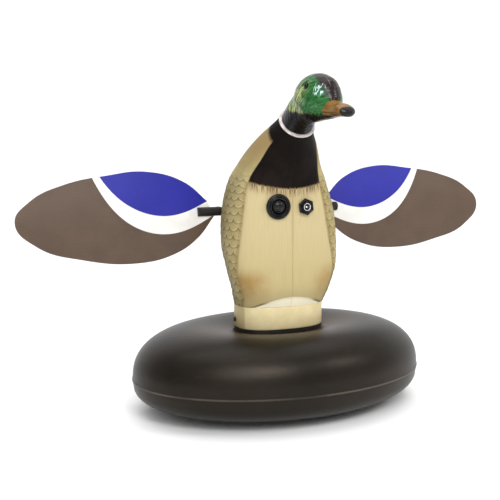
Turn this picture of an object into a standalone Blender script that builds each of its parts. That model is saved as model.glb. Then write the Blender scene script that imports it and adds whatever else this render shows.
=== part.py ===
"""Spinning-wing drake decoy: a moulded duck stands upright on an oval float.

A small motor inside the duck turns one cross shaft, and a flat wing is screwed to a hub at each end
of it. The duck's two body shells stand in a foot collar on the float's pedestal. The head plugs into
a ring at the top of the neck and turns there. A push switch and a charging socket sit on the breast.

Frame: the origin is the middle of the float's resting face, +Z is up, the breast faces -Y and the
duck's left wing is on +X.
"""
from math import copysign, cos, exp, pi, radians, sin

import bmesh
import bpy
from mathutils import Matrix, Vector

# ---------------------------------------------------------------- driving dimensions, metres
GAP = 0.0003

FLOAT_HALF_LENGTH = 0.150
FLOAT_HALF_WIDTH = 0.106
FLOAT_SEAM_Z = 0.0353
FLOAT_WALL = 0.0030
FLOAT_SEAT_Z = 0.0776
FLOAT_SEAT_RADIUS = 0.049
FLOAT_FOOT_RADIUS = 0.062
FLOAT_CROWN_RISE = 0.0600
FLOAT_DISH_DEPTH = 0.0235
FLOAT_DISH_REACH = 0.074

COLLAR_LOW_Z = 0.0820
COLLAR_HIGH_Z = 0.1043
COLLAR_WALL = 0.0022
COLLAR_SCREW = Vector((0.0456, 0.0040, 0.0898))
SHELL_WALL = 0.0020
SKIRT_LOW_Z = 0.0835
PLINTH_TOP_Z = 0.0816
POST_TOP_Z = 0.1040

AXLE_Y = 0.0241
AXLE_Z = 0.1955
AXLE_RADIUS = 0.0016
AXLE_HALF_LENGTH = 0.0578
WING_LEAN = radians(79.2)
WING_THICKNESS = 0.0016
HUB_RADIUS = 0.0045
HUB_INNER_X = 0.0522
HUB_OUTER_X = 0.0766
HUB_STEP_X = 0.0585
GRUB_SCREW_X = 0.0550
WING_SCREWS_X = (0.0650, 0.0725)
MOTOR_RADIUS = 0.0122
MOTOR_HALF_LENGTH = 0.0155

NECK_CENTRE = Vector((0.0, -0.0418, 0.2820))
NECK_LEAN = radians(48)
HEAD_CENTRE = Vector((0.004, -0.079, 0.3067))
HEAD_YAW = radians(9)

SWITCH_PLACE = Vector((-0.0152, -0.0328, 0.2036))
SWITCH_YAW = radians(-5)
SOCKET_PLACE = Vector((0.0134, -0.0332, 0.2024))
SOCKET_YAW = radians(3)

# ---------------------------------------------------------------- a clean scene and two collections
for old in list(bpy.data.objects):
    bpy.data.objects.remove(old, do_unlink=True)

PARTS = bpy.data.collections.new("spinning_wing_decoy")
CUTTERS = bpy.data.collections.new("cutters")
bpy.context.scene.collection.children.link(PARTS)
bpy.context.scene.collection.children.link(CUTTERS)

CREAM = ((0.78, 0.70, 0.47), 0.55, 0.0)
BLACK_PLASTIC = ((0.02, 0.02, 0.02), 0.35, 0.0)
FLOAT_BLACK = ((0.030, 0.027, 0.024), 0.45, 0.0)
STEEL = ((0.62, 0.62, 0.64), 0.30, 1.0)
DARK_STEEL = ((0.05, 0.05, 0.05), 0.35, 1.0)
BRASS = ((0.70, 0.52, 0.24), 0.30, 1.0)
COPPER = ((0.72, 0.38, 0.22), 0.35, 1.0)
FERRITE = ((0.10, 0.10, 0.11), 0.70, 0.0)
GREY_PLASTIC = ((0.25, 0.26, 0.28), 0.50, 0.0)
BOARD_GREEN = ((0.03, 0.22, 0.08), 0.45, 0.0)
CELL_SLEEVE = ((0.08, 0.30, 0.55), 0.40, 0.0)
RING_WHITE = ((0.85, 0.84, 0.82), 0.45, 0.0)
HEAD_GREEN = ((0.03, 0.24, 0.08), 0.20, 0.0)
WING_BROWN = ((0.17, 0.11, 0.08), 0.60, 0.0)
LEAD_RED = ((0.55, 0.02, 0.02), 0.45, 0.0)
LEAD_BLACK = ((0.02, 0.02, 0.02), 0.45, 0.0)


# ---------------------------------------------------------------- making and placing objects
def place(name, data, look, location=(0, 0, 0), rotation=(0, 0, 0), parent=None):
    """Add a named object to the decoy, or a cutter when it has no look."""
    obj = bpy.data.objects.new(name, data)
    obj.location = location
    obj.rotation_euler = rotation
    obj.parent = parent
    if look is None:
        CUTTERS.objects.link(obj)
        obj.hide_render = True
        obj.display_type = "WIRE"
        return obj
    PARTS.objects.link(obj)
    colour, roughness, metallic = look
    material = bpy.data.materials.new(name)
    material.use_nodes = True
    shader = material.node_tree.nodes["Principled BSDF"]
    shader.inputs["Base Color"].default_value = (*colour, 1.0)
    shader.inputs["Roughness"].default_value = roughness
    shader.inputs["Metallic"].default_value = metallic
    obj.data.materials.append(material)
    return obj


def pivot(name, location, rotation=(0, 0, 0)):
    """An empty that carries the pieces of one local frame."""
    empty = bpy.data.objects.new(name, None)
    empty.location = location
    empty.rotation_euler = rotation
    PARTS.objects.link(empty)
    return empty


def mesh_from(bm, name):
    mesh = bpy.data.meshes.new(name)
    bm.to_mesh(mesh)
    bm.free()
    mesh.shade_smooth()
    mesh.set_sharp_from_angle(angle=radians(35))
    return mesh


def box(name, size, look=None, **where):
    bm = bmesh.new()
    bmesh.ops.create_cube(bm, size=1.0, matrix=Matrix.Diagonal((*size, 1.0)))
    return place(name, mesh_from(bm, name), look, **where)


def rod(name, radius, length, look=None, segments=20, far_radius=None, **where):
    """A cylinder along its own Z, or a cone when the far radius differs."""
    bm = bmesh.new()
    bmesh.ops.create_cone(
        bm, cap_ends=True, segments=segments, radius1=radius,
        radius2=radius if far_radius is None else far_radius, depth=length)
    return place(name, mesh_from(bm, name), look, **where)


def ball(name, radii, look=None, segments=24, rings=14, **where):
    bm = bmesh.new()
    bmesh.ops.create_uvsphere(bm, u_segments=segments, v_segments=rings, radius=1.0,
                              matrix=Matrix.Diagonal((*radii, 1.0)))
    return place(name, mesh_from(bm, name), look, **where)


def turned(name, profile, look=None, steps=24, ring=False, **where):
    """Turn a profile of (radius, z) points about Z; it runs down its outer side."""
    mesh = bpy.data.meshes.new(name)
    edges = [(i, i + 1) for i in range(len(profile) - 1)]
    if ring:
        edges.append((len(profile) - 1, 0))
    mesh.from_pydata([(r, 0.0, z) for r, z in profile], edges, [])
    obj = place(name, mesh, look, **where)
    screw = obj.modifiers.new("turn", "SCREW")
    screw.steps = screw.render_steps = steps
    screw.use_merge_vertices = True
    screw.merge_threshold = 0.00001
    screw.use_smooth_shade = True
    return obj


def tube(name, outer, inner, length, look, **where):
    """A plain bush: a turned ring centred on its own origin."""
    half = length / 2
    profile = [(inner, half), (outer, half), (outer, -half), (inner, -half)]
    return turned(name, profile, look, ring=True, **where)


def loft(name, rings, look=None, capped=True, **where):
    """Skin a list of rings, each a list of points in the same order."""
    bm = bmesh.new()
    layers = [[bm.verts.new(point) for point in ring] for ring in rings]
    count = len(layers[0])
    for low, high in zip(layers, layers[1:]):
        for i in range(count):
            j = (i + 1) % count
            bm.faces.new((low[i], low[j], high[j], high[i]))
    if capped:
        bm.faces.new(layers[0])
        bm.faces.new(layers[-1])
    bmesh.ops.recalc_face_normals(bm, faces=bm.faces)
    bmesh.ops.triangulate(bm, faces=bm.faces)
    return place(name, mesh_from(bm, name), look, **where)


def combine(obj, other, operation):
    boolean = obj.modifiers.new(f"{operation.lower()}_{other.name}", "BOOLEAN")
    boolean.operation = operation
    boolean.object = other


def cut(obj, *others):
    for other in others:
        combine(obj, other, "DIFFERENCE")


def join(obj, *others):
    for other in others:
        combine(obj, other, "UNION")


def thicken(obj, wall):
    """Give an open skin its wall, inwards."""
    solidify = obj.modifiers.new("wall", "SOLIDIFY")
    solidify.thickness = wall
    solidify.offset = -1.0
    solidify.use_even_offset = True


def screw(name, location, rotation, shank, length, head, head_height, look, parent=None):
    """A pan-head screw: its origin is under the head and it points down its own Z."""
    profile = [
        (0.0, head_height), (head * 0.75, head_height), (head, head_height * 0.4), (head, 0.0),
        (shank, 0.0), (shank, -length), (0.0, -length)]
    return turned(name, profile, look, steps=10, location=location, rotation=rotation, parent=parent)


# ---------------------------------------------------------------- the float
def oval_shell(name, profile, wall):
    """Turn an open profile, squeeze it to the float's width, and give it a wall."""
    source = turned(f"{name}_turned", profile, steps=32)
    bpy.context.view_layer.update()
    evaluated = source.evaluated_get(bpy.context.evaluated_depsgraph_get())
    mesh = bpy.data.meshes.new_from_object(evaluated)
    bpy.data.objects.remove(source, do_unlink=True)
    mesh.transform(Matrix.Diagonal((1.0, FLOAT_HALF_WIDTH / FLOAT_HALF_LENGTH, 1.0, 1.0)))
    shell = place(name, mesh, FLOAT_BLACK)
    thicken(shell, wall)
    return shell


CROWN_SQUARENESS = 2.6
BILGE_SQUARENESS = 3.0


def crown_height(radius):
    """Top of the float above its base: a rounded side that sinks towards the seat."""
    from_rim = (1 - (radius / FLOAT_HALF_LENGTH) ** CROWN_SQUARENESS) ** (1 / CROWN_SQUARENESS)
    dish = FLOAT_DISH_DEPTH * exp(-(radius / FLOAT_DISH_REACH) ** 2)
    return FLOAT_SEAM_Z + FLOAT_CROWN_RISE * from_rim - dish


def bilge_point(angle):
    """A point (radius, z) on the rounded underside; the angle is 0 at the seam."""
    radius = FLOAT_HALF_LENGTH * cos(angle) ** (2 / BILGE_SQUARENESS)
    return radius, FLOAT_SEAM_Z * (1 - sin(angle) ** (2 / BILGE_SQUARENESS))


SEAM_TRIM = 0.0010
SEAM_CUTTER = (0.400, 0.300, 0.020)
crown_radii = (0.0495, 0.0600, 0.0720, 0.0860, 0.1000, 0.1130, 0.1250, 0.1350, 0.1425, 0.1475)
upper_profile = [(0.0, FLOAT_SEAT_Z), (FLOAT_SEAT_RADIUS - 0.002, FLOAT_SEAT_Z)]
upper_profile += [(radius, crown_height(radius)) for radius in crown_radii]
upper_profile.append((FLOAT_HALF_LENGTH, FLOAT_SEAM_Z - SEAM_TRIM))
float_upper = oval_shell("float_upper", upper_profile, FLOAT_WALL)
cut(float_upper, box("upper_seam_cut", SEAM_CUTTER,
                     location=(0, 0, FLOAT_SEAM_Z + GAP / 2 - SEAM_CUTTER[2] / 2)))

lower_profile = [(FLOAT_HALF_LENGTH, FLOAT_SEAM_Z + SEAM_TRIM)]
for i in range(9):
    radius, z = bilge_point(radians(4 + 86 * i / 9))
    if radius > FLOAT_FOOT_RADIUS + 0.010:
        lower_profile.append((radius, z))
lower_profile += [(FLOAT_FOOT_RADIUS, 0.0), (0.0, 0.0)]
float_lower = oval_shell("float_lower", lower_profile, FLOAT_WALL)
cut(float_lower, box("lower_seam_cut", SEAM_CUTTER,
                     location=(0, 0, FLOAT_SEAM_Z - GAP / 2 + SEAM_CUTTER[2] / 2)))


# ---------------------------------------------------------------- the duck's cross-sections
# Each section: height, y of its middle, lean in degrees, half width, depth to the breast, depth to
# the back, squareness of the breast side and of the back.
BODY_SECTIONS = [
    (0.1046, 0.0020, 0, 0.0452, 0.0305, 0.0290, 2.5, 2.3),
    (0.1220, -0.0040, 0, 0.0490, 0.0295, 0.0360, 2.8, 2.3),
    (0.1420, -0.0065, 0, 0.0548, 0.0273, 0.0435, 2.8, 2.2),
    (0.1650, -0.0013, 0, 0.0573, 0.0322, 0.0480, 2.8, 2.2),
    (0.1950, 0.0032, 0, 0.0553, 0.0367, 0.0480, 2.8, 2.1),
    (0.2220, 0.0041, 6, 0.0488, 0.0368, 0.0420, 2.5, 2.1),
    (0.2430, -0.0042, 16, 0.0402, 0.0320, 0.0340, 2.2, 2.0),
    (0.2620, -0.0192, 32, 0.0300, 0.0260, 0.0230, 2.1, 2.0),
    (0.2750, -0.0345, 44, 0.0202, 0.0195, 0.0184, 2.0, 2.0),
    (0.2809, -0.0406, 48, 0.0170, 0.0170, 0.0170, 2.0, 2.0),
]
RING_POINTS = 32


def power_of(value, exponent):
    return copysign(abs(value) ** exponent, value)


def section_ring(section, inset=0.0, z=None):
    """One closed ring of points round the duck at a section."""
    height, middle, lean, half_width, breast, back, square_front, square_back = section
    points = []
    for i in range(RING_POINTS):
        angle = 2 * pi * i / RING_POINTS
        c, s = cos(angle), sin(angle)
        square = square_front if s < 0 else square_back
        depth = (breast if s < 0 else back) - inset
        across = power_of(c, 2 / square) * (half_width - inset)
        along = power_of(s, 2 / square) * depth
        points.append((across, middle + along * cos(radians(lean)),
                       (height if z is None else z) + along * sin(radians(lean))))
    return points


def between(sections, parts):
    """Sections with smooth in-between ones added, through every given section."""
    result = []
    for i in range(len(sections) - 1):
        a = sections[max(i - 1, 0)]
        b, c = sections[i], sections[i + 1]
        d = sections[min(i + 2, len(sections) - 1)]
        for k in range(parts):
            t = k / parts
            result.append(tuple(
                0.5 * (2 * q + (r - p) * t + (2 * p - 5 * q + 4 * r - s) * t ** 2
                       + (3 * q - p - 3 * r + s) * t ** 3)
                for p, q, r, s in zip(a, b, c, d)))
    result.append(sections[-1])
    return result


FOOT = BODY_SECTIONS[0]

# ---------------------------------------------------------------- pedestal and foot collar
POST_WALL = 0.003
post_inset = COLLAR_WALL + SHELL_WALL + 0.0009
pedestal = loft("pedestal", [
    section_ring(FOOT, 0.0, FLOAT_SEAT_Z + GAP),
    section_ring(FOOT, 0.0, PLINTH_TOP_Z)], BLACK_PLASTIC)
post = loft("pedestal_post", [
    section_ring(FOOT, post_inset, PLINTH_TOP_Z - 0.002),
    section_ring(FOOT, post_inset, POST_TOP_Z)])
post_pocket = loft("pedestal_pocket", [
    section_ring(FOOT, post_inset + POST_WALL, PLINTH_TOP_Z + GAP),
    section_ring(FOOT, post_inset + POST_WALL, POST_TOP_Z + 0.006)])
join(pedestal, post)
cut(pedestal, post_pocket)

foot_collar = loft("foot_collar", [
    section_ring(FOOT, 0.0, COLLAR_LOW_Z),
    section_ring(FOOT, 0.0, COLLAR_HIGH_Z)], CREAM, capped=False)
thicken(foot_collar, COLLAR_WALL)

pedestal_screw_places = [(x, y, PLINTH_TOP_Z + 2 * GAP) for x in (-0.018, 0.018) for y in (-0.009, 0.014)]
for number, spot in enumerate(pedestal_screw_places, 1):
    screw(f"pedestal_screw_{number}", spot, (0, 0, 0), 0.0015, 0.0090, 0.0030, 0.0018, STEEL)
    hole = rod(f"pedestal_hole_{number}", 0.0019, 0.020, segments=12, location=spot)
    cut(pedestal, hole)
    cut(float_upper, hole)

# ---------------------------------------------------------------- the two body shells
skirt_inset = COLLAR_WALL + 0.0004
shell_rings = [
    section_ring(FOOT, skirt_inset, SKIRT_LOW_Z),
    section_ring(FOOT, skirt_inset, 0.0940),
    section_ring(FOOT, skirt_inset, COLLAR_HIGH_Z + GAP)]
shell_rings += [section_ring(section) for section in between(BODY_SECTIONS, 2)]

body_shells = {}
for side, sign in (("right", -1), ("left", 1)):
    shell = loft(f"body_{side}", shell_rings, CREAM, capped=False)
    thicken(shell, SHELL_WALL)
    keep = box(f"{side}_half", (0.200, 0.400, 0.400), location=(sign * (0.100 + GAP / 2), 0.0, 0.200))
    combine(shell, keep, "INTERSECT")
    axle_hole = rod(f"{side}_axle_hole", 0.0046, 0.030, location=(sign * 0.050, AXLE_Y, AXLE_Z),
                    rotation=(0, pi / 2, 0))
    cut(shell, axle_hole)
    body_shells[side] = shell

for side, sign in (("right", -1), ("left", 1)):
    screw(f"collar_screw_{side}", (sign * COLLAR_SCREW.x, COLLAR_SCREW.y, COLLAR_SCREW.z),
          (0, sign * pi / 2, 0), 0.0014, 0.0085, 0.0026, 0.0013, DARK_STEEL)
    hole = rod(f"{side}_collar_hole", 0.0018, 0.022, segments=12, rotation=(0, pi / 2, 0),
               location=(sign * (COLLAR_SCREW.x - 0.0026), COLLAR_SCREW.y, COLLAR_SCREW.z))
    cut(foot_collar, hole)
    cut(body_shells[side], hole)
    cut(pedestal, hole)

# ---------------------------------------------------------------- chassis inside the body
CHASSIS_FRONT_Y = 0.0070
SADDLE_HALF_DEPTH = 0.0185
SADDLE_TOP_Z = AXLE_Z - GAP
chassis = box("chassis", (0.064, 0.029, 0.003), GREY_PLASTIC, location=(0, 0.0035, 0.1059))
upright = box("chassis_upright", (0.048, 0.003, 0.0745), location=(0, CHASSIS_FRONT_Y + 0.0015, 0.14325))
saddle = box("chassis_saddle", (0.016, 2 * SADDLE_HALF_DEPTH, 0.0192),
             location=(0, AXLE_Y, SADDLE_TOP_Z - 0.0096))
gusset = box("chassis_gusset", (0.003, 0.028, 0.034), location=(0, 0.0228, 0.1620))
gusset_slope = box("chassis_gusset_slope", (0.010, 0.060, 0.040), location=(0, 0.0400, 0.1360),
                   rotation=(radians(48), 0, 0))
cut(gusset, gusset_slope)
join(chassis, upright, saddle, gusset)
cut(chassis, rod("saddle_trough", MOTOR_RADIUS + GAP, 0.060, segments=32,
                 location=(0, AXLE_Y, AXLE_Z), rotation=(0, pi / 2, 0)))

for number, x in enumerate((-0.028, 0.028), 1):
    boss = rod(f"post_boss_{number}", 0.0038, 0.0215, segments=16, location=(x, 0.004, 0.0926))
    join(pedestal, boss)
    spot = (x, 0.004, 0.1077)
    screw(f"chassis_screw_{number}", spot, (0, 0, 0), 0.0014, 0.0120, 0.0027, 0.0018, STEEL)
    hole = rod(f"chassis_hole_{number}", 0.0018, 0.016, segments=12, location=(x, 0.004, 0.1010))
    cut(chassis, hole)
    cut(pedestal, hole)

# ---------------------------------------------------------------- battery, tray and control board
CELL_RADIUS = 0.0092
CELL_LENGTH = 0.0652
CELL_Y = -0.0050
battery_tray = box("battery_tray", (0.071, 0.0227, 0.041), BLACK_PLASTIC,
                   location=(0, CHASSIS_FRONT_Y - GAP - 0.01135, 0.1320))
cut(battery_tray, box("tray_pocket", (0.0666, 0.0240, 0.0382),
                      location=(0, CHASSIS_FRONT_Y - GAP - 0.0020 - 0.0120, 0.1320)))
for number, z in enumerate((0.1225, 0.1415), 1):
    turned(f"battery_cell_{number}", [
        (0.0, CELL_LENGTH / 2), (0.0030, CELL_LENGTH / 2), (0.0030, CELL_LENGTH / 2 - 0.001),
        (CELL_RADIUS, CELL_LENGTH / 2 - 0.001), (CELL_RADIUS, -CELL_LENGTH / 2), (0.0, -CELL_LENGTH / 2)],
        CELL_SLEEVE, steps=20, location=(0, CELL_Y, z), rotation=(0, pi / 2, 0))

BOARD_Z = 0.1700
BOARD_BACK_Y = 0.0010
BOARD_THICKNESS = 0.0016
board_face_y = BOARD_BACK_Y - BOARD_THICKNESS
control_board = box("control_board", (0.042, BOARD_THICKNESS, 0.028), BOARD_GREEN,
                    location=(0, BOARD_BACK_Y - BOARD_THICKNESS / 2, BOARD_Z))
for i, (x, z) in enumerate([(x, z) for x in (-0.018, 0.018) for z in (-0.011, 0.011)]):
    peg = rod(f"board_peg_{i}", 0.0020, 0.0062, segments=12, location=(x, 0.0044, BOARD_Z + z),
              rotation=(pi / 2, 0, 0))
    join(chassis, peg)
box("terminal_block", (0.014, 0.0080, 0.0080), LEAD_RED,
    location=(0.010, board_face_y - GAP - 0.0040, 0.1760))

# ---------------------------------------------------------------- the motor's fixed pieces
AXLE = Vector((0.0, AXLE_Y, AXLE_Z))
ALONG_X = (0, pi / 2, 0)


def on_axle(x):
    return AXLE + Vector((x, 0.0, 0.0))


half = MOTOR_HALF_LENGTH
turned("motor_can", [
    (MOTOR_RADIUS - 0.001, half - 0.0025), (MOTOR_RADIUS, half - 0.0025), (MOTOR_RADIUS, -half + 0.001),
    (MOTOR_RADIUS - 0.001, -half), (0.0024, -half), (0.0024, -half + 0.001),
    (MOTOR_RADIUS - 0.001, -half + 0.001)], STEEL, steps=28, ring=True, location=AXLE, rotation=ALONG_X)
turned("motor_end_bell", [
    (0.0024, half), (0.0050, half), (0.0055, half - 0.0005), (MOTOR_RADIUS - 0.0006, half - 0.0008),
    (MOTOR_RADIUS - 0.0006, half - 0.0022), (0.0024, half - 0.0022)],
    BLACK_PLASTIC, steps=28, ring=True, location=AXLE, rotation=ALONG_X)
for name, side in (("upper", 1), ("lower", -1)):
    magnet = tube(f"magnet_{name}", MOTOR_RADIUS - 0.0013, MOTOR_RADIUS - 0.0033, 0.018, FERRITE,
                  location=on_axle(-0.001), rotation=ALONG_X)
    keep = box(f"magnet_{name}_half", (0.040, 0.040, 0.012),
               location=AXLE + Vector((0.0, 0.0, side * (0.006 + 0.003))))
    combine(magnet, keep, "INTERSECT")
    box(f"brush_{name}", (0.0024, 0.0022, 0.0042), COPPER,
        location=AXLE + Vector((0.0102, 0.0, side * (0.0032 + GAP + 0.0021))))

strap_outer = MOTOR_RADIUS + GAP + 0.0010
strap_flange = 0.0184
motor_strap = turned("motor_strap", [
    (MOTOR_RADIUS + GAP, 0.005), (strap_outer, 0.005), (strap_outer, -0.005),
    (MOTOR_RADIUS + GAP, -0.005)], STEEL, steps=32, ring=True, location=AXLE, rotation=ALONG_X)
flange_plate = box("strap_flange", (0.010, 2 * strap_flange, 0.0010),
                   location=AXLE + Vector((0, 0, 0.0006)))
cut(flange_plate, rod("strap_flange_gap", MOTOR_RADIUS + GAP + 0.0003, 0.030, segments=32, location=AXLE,
                      rotation=ALONG_X))
join(motor_strap, flange_plate)
cut(motor_strap, box("strap_underside", (0.040, 0.080, 0.040), location=AXLE + Vector((0, 0, -0.0199))))
for name, side in (("front", -1), ("back", 1)):
    spot = AXLE + Vector((0.0, side * 0.0161, 0.0014))
    screw(f"strap_screw_{name}", spot, (0, 0, 0), 0.0012, 0.0090, 0.0020, 0.0015, STEEL)
    hole = rod(f"strap_hole_{name}", 0.0016, 0.022, segments=12, location=spot)
    cut(motor_strap, hole)
    cut(chassis, hole)

for side, sign in (("right", -1), ("left", 1)):
    turned(f"axle_bush_{side}", [
        (0.0020, 0.0518), (0.0042, 0.0518), (0.0042, 0.0420), (0.0070, 0.0420), (0.0070, 0.0404),
        (0.0020, 0.0404)], BRASS, ring=True, steps=20, location=AXLE, rotation=(0, sign * pi / 2, 0))

# ---------------------------------------------------------------- the turning wings
# The pivot's Y runs along the wings' chord and its Z points out of their front faces.
wing_pivot = pivot("wing_pivot", AXLE, (WING_LEAN, 0, 0))
rod("drive_shaft", AXLE_RADIUS, 2 * AXLE_HALF_LENGTH, STEEL, segments=16, rotation=ALONG_X,
    parent=wing_pivot)
armature = tube("armature", 0.0084, AXLE_RADIUS + GAP, 0.016, COPPER,
                location=(-0.001, 0, 0), rotation=ALONG_X, parent=wing_pivot)
for i in range(3):
    turn = 2 * pi * i / 3
    slot = box(f"armature_slot_{i}", (0.030, 0.0016, 0.0060),
               location=(0.0, 0.0068 * sin(turn), 0.0068 * cos(turn)),
               rotation=(-turn, 0, 0), parent=wing_pivot)
    cut(armature, slot)
tube("commutator", 0.0032, AXLE_RADIUS + GAP, 0.0034, COPPER, location=(0.0102, 0, 0),
     rotation=ALONG_X, parent=wing_pivot)

# Half of the wing outline as it is seen from the front: distance from the middle, place along the
# chord, and whether the corner there is sharp.
WING_OUTLINE = [
    (0.0654, 0.0104, True), (0.0880, 0.0300, False), (0.1250, 0.0410, False), (0.1650, 0.0382, False),
    (0.2060, 0.0305, False), (0.2380, 0.0159, False), (0.2522, -0.0030, False), (0.2330, -0.0254, False),
    (0.1930, -0.0390, False), (0.1390, -0.0463, False), (0.1020, -0.0395, False), (0.0780, -0.0255, False),
    (0.0594, -0.0046, True),
]
WING_FACE = -GAP


def wing_plate(name, sign):
    """A flat plate from a 2D curve, made a mesh so that its screw holes can be cut."""
    curve = bpy.data.curves.new(name, "CURVE")
    curve.dimensions = "2D"
    curve.fill_mode = "BOTH"
    curve.extrude = WING_THICKNESS / 2
    curve.resolution_u = 5
    curve.render_resolution_u = 0
    spline = curve.splines.new("BEZIER")
    spline.bezier_points.add(len(WING_OUTLINE) - 1)
    spline.use_cyclic_u = True
    for point, (out, along, sharp) in zip(spline.bezier_points, WING_OUTLINE):
        point.co = (sign * out, along, 0.0)
        point.handle_left_type = point.handle_right_type = "VECTOR" if sharp else "AUTO"
    source = place(f"{name}_outline", curve, None)
    bpy.context.view_layer.update()
    mesh = bpy.data.meshes.new_from_object(source.evaluated_get(bpy.context.evaluated_depsgraph_get()))
    bpy.data.objects.remove(source, do_unlink=True)
    bm = bmesh.new()
    bm.from_mesh(mesh)
    bmesh.ops.remove_doubles(bm, verts=bm.verts, dist=0.00001)
    bmesh.ops.recalc_face_normals(bm, faces=bm.faces)
    bm.to_mesh(mesh)
    bm.free()
    return place(name, mesh, WING_BROWN, location=(0, 0, WING_FACE - WING_THICKNESS / 2), parent=wing_pivot)


for side, sign in (("right", -1), ("left", 1)):
    hub_length = HUB_OUTER_X - HUB_INNER_X
    hub = rod(f"wing_hub_{side}", HUB_RADIUS, hub_length, BLACK_PLASTIC, segments=24,
              location=(sign * (HUB_OUTER_X + HUB_INNER_X) / 2, 0, 0), rotation=ALONG_X, parent=wing_pivot)
    bore_end = AXLE_HALF_LENGTH + GAP
    hub_bore = rod(f"hub_bore_{side}", AXLE_RADIUS + GAP, 0.020, segments=16,
                   location=(sign * (bore_end - 0.010), 0, 0), rotation=ALONG_X, parent=wing_pivot)
    hub_flat = box(f"hub_flat_{side}", (0.030, 0.012, 0.010),
                   location=(sign * (HUB_STEP_X + 0.015), 0, -0.005), parent=wing_pivot)
    cut(hub, hub_bore, hub_flat)
    grub_hole = rod(f"grub_hole_{side}", 0.0014, 0.010, segments=12, rotation=(pi / 2, 0, 0),
                    location=(sign * GRUB_SCREW_X, 0.0062, 0), parent=wing_pivot)
    cut(hub, grub_hole)
    rod(f"grub_screw_{side}", 0.0011, 0.0026, DARK_STEEL, segments=12,
        location=(sign * GRUB_SCREW_X, 0.0033, 0), rotation=(pi / 2, 0, 0), parent=wing_pivot)
    plate = wing_plate(f"wing_{side}", sign)
    for number, x in enumerate(WING_SCREWS_X, 1):
        hole = rod(f"wing_hole_{side}_{number}", 0.0015, 0.0070, segments=12,
                   location=(sign * x, 0, -0.0007), parent=wing_pivot)
        cut(plate, hole)
        cut(hub, hole)
        back = WING_FACE - WING_THICKNESS - GAP
        screw(f"wing_screw_{side}_{number}", (sign * x, 0, back), (pi, 0, 0),
              0.0012, 0.0046, 0.0024, 0.0013, STEEL, parent=wing_pivot)

# ---------------------------------------------------------------- push switch on the breast
FACING_OUT = pi / 2
SWITCH_BARREL_RADIUS = 0.0092
JACK_BODY_RADIUS = 0.0053
switch_frame = pivot("switch_frame", SWITCH_PLACE, (FACING_OUT, 0, SWITCH_YAW))
turned("switch_housing", [
    (0.0072, 0.0034), (0.0106, 0.0034), (0.0118, 0.0028), (0.0122, 0.0018), (0.0122, 0.0006),
    (SWITCH_BARREL_RADIUS, 0.0006), (SWITCH_BARREL_RADIUS, -0.0130), (0.0, -0.0130), (0.0, -0.0115),
    (0.0072, -0.0115)],
    BLACK_PLASTIC, steps=28, ring=True, parent=switch_frame)
switch_nut = rod("switch_nut", 0.0128, 0.0034, BLACK_PLASTIC, segments=6,
                 location=(0, 0, -0.0088), parent=switch_frame)
cut(switch_nut, rod("switch_nut_bore", SWITCH_BARREL_RADIUS + GAP, 0.010, segments=28,
                    location=(0, 0, -0.0088), parent=switch_frame))
turned("power_button", [
    (0.0, 0.0052), (0.0026, 0.0050), (0.0050, 0.0042), (0.0064, 0.0028), (0.0068, 0.0014),
    (0.0068, -0.0020), (0.0030, -0.0020), (0.0030, -0.0070), (0.0, -0.0070)],
    BLACK_PLASTIC, steps=24, parent=switch_frame)
cut(body_shells["right"],
    rod("switch_hole", SWITCH_BARREL_RADIUS + 0.0005, 0.030, segments=24, parent=switch_frame))

# ---------------------------------------------------------------- charging socket on the breast
socket_frame = pivot("socket_frame", SOCKET_PLACE, (FACING_OUT, 0, SOCKET_YAW))
turned("jack_body", [
    (0.0041, 0.0040), (JACK_BODY_RADIUS, 0.0040), (JACK_BODY_RADIUS, -0.0045), (0.0076, -0.0045),
    (0.0076, -0.0065), (JACK_BODY_RADIUS, -0.0065), (JACK_BODY_RADIUS, -0.0130), (0.0, -0.0130),
    (0.0, -0.0113), (0.0041, -0.0113)],
    BLACK_PLASTIC, steps=24, ring=True, parent=socket_frame)
jack_nut = rod("jack_nut", 0.0084, 0.0026, BLACK_PLASTIC, segments=6, location=(0, 0, 0.0019),
               rotation=(0, 0, radians(8)), parent=socket_frame)
cut(jack_nut, rod("jack_nut_bore", JACK_BODY_RADIUS + GAP, 0.010, segments=24, parent=socket_frame))
tube("jack_sleeve", 0.00375, 0.0029, 0.0154, STEEL, location=(0, 0, -0.0033), parent=socket_frame)
turned("jack_pin", [(0.0, 0.0032), (0.0006, 0.0032), (0.00105, 0.0027), (0.00105, -0.0110), (0.0, -0.0110)],
       STEEL, steps=12, parent=socket_frame)
cut(body_shells["left"],
    rod("socket_hole", JACK_BODY_RADIUS + GAP, 0.030, segments=24, parent=socket_frame))

# ---------------------------------------------------------------- neck ring and head
neck_frame = pivot("neck_frame", NECK_CENTRE, (NECK_LEAN, 0, 0))
turned("neck_ring", [
    (0.0132, 0.0015), (0.0164, 0.0015), (0.0175, 0.0010), (0.0179, 0.0001), (0.0175, -0.0008),
    (0.0165, -0.0012), (0.0146, -0.0012), (0.0146, -0.0060), (0.0132, -0.0060)],
    RING_WHITE, steps=24, ring=True, parent=neck_frame)

head = ball("head", (0.0173, 0.0225, 0.0197), HEAD_GREEN, segments=20, rings=12,
            location=HEAD_CENTRE, rotation=(0, 0, HEAD_YAW))


def neck_point(height, radius, angle):
    """A point on a round section of the neck, in world places."""
    axis_turn = Matrix.Rotation(NECK_LEAN, 3, "X")
    return NECK_CENTRE + axis_turn @ Vector((radius * cos(angle), radius * sin(angle), height))


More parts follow.
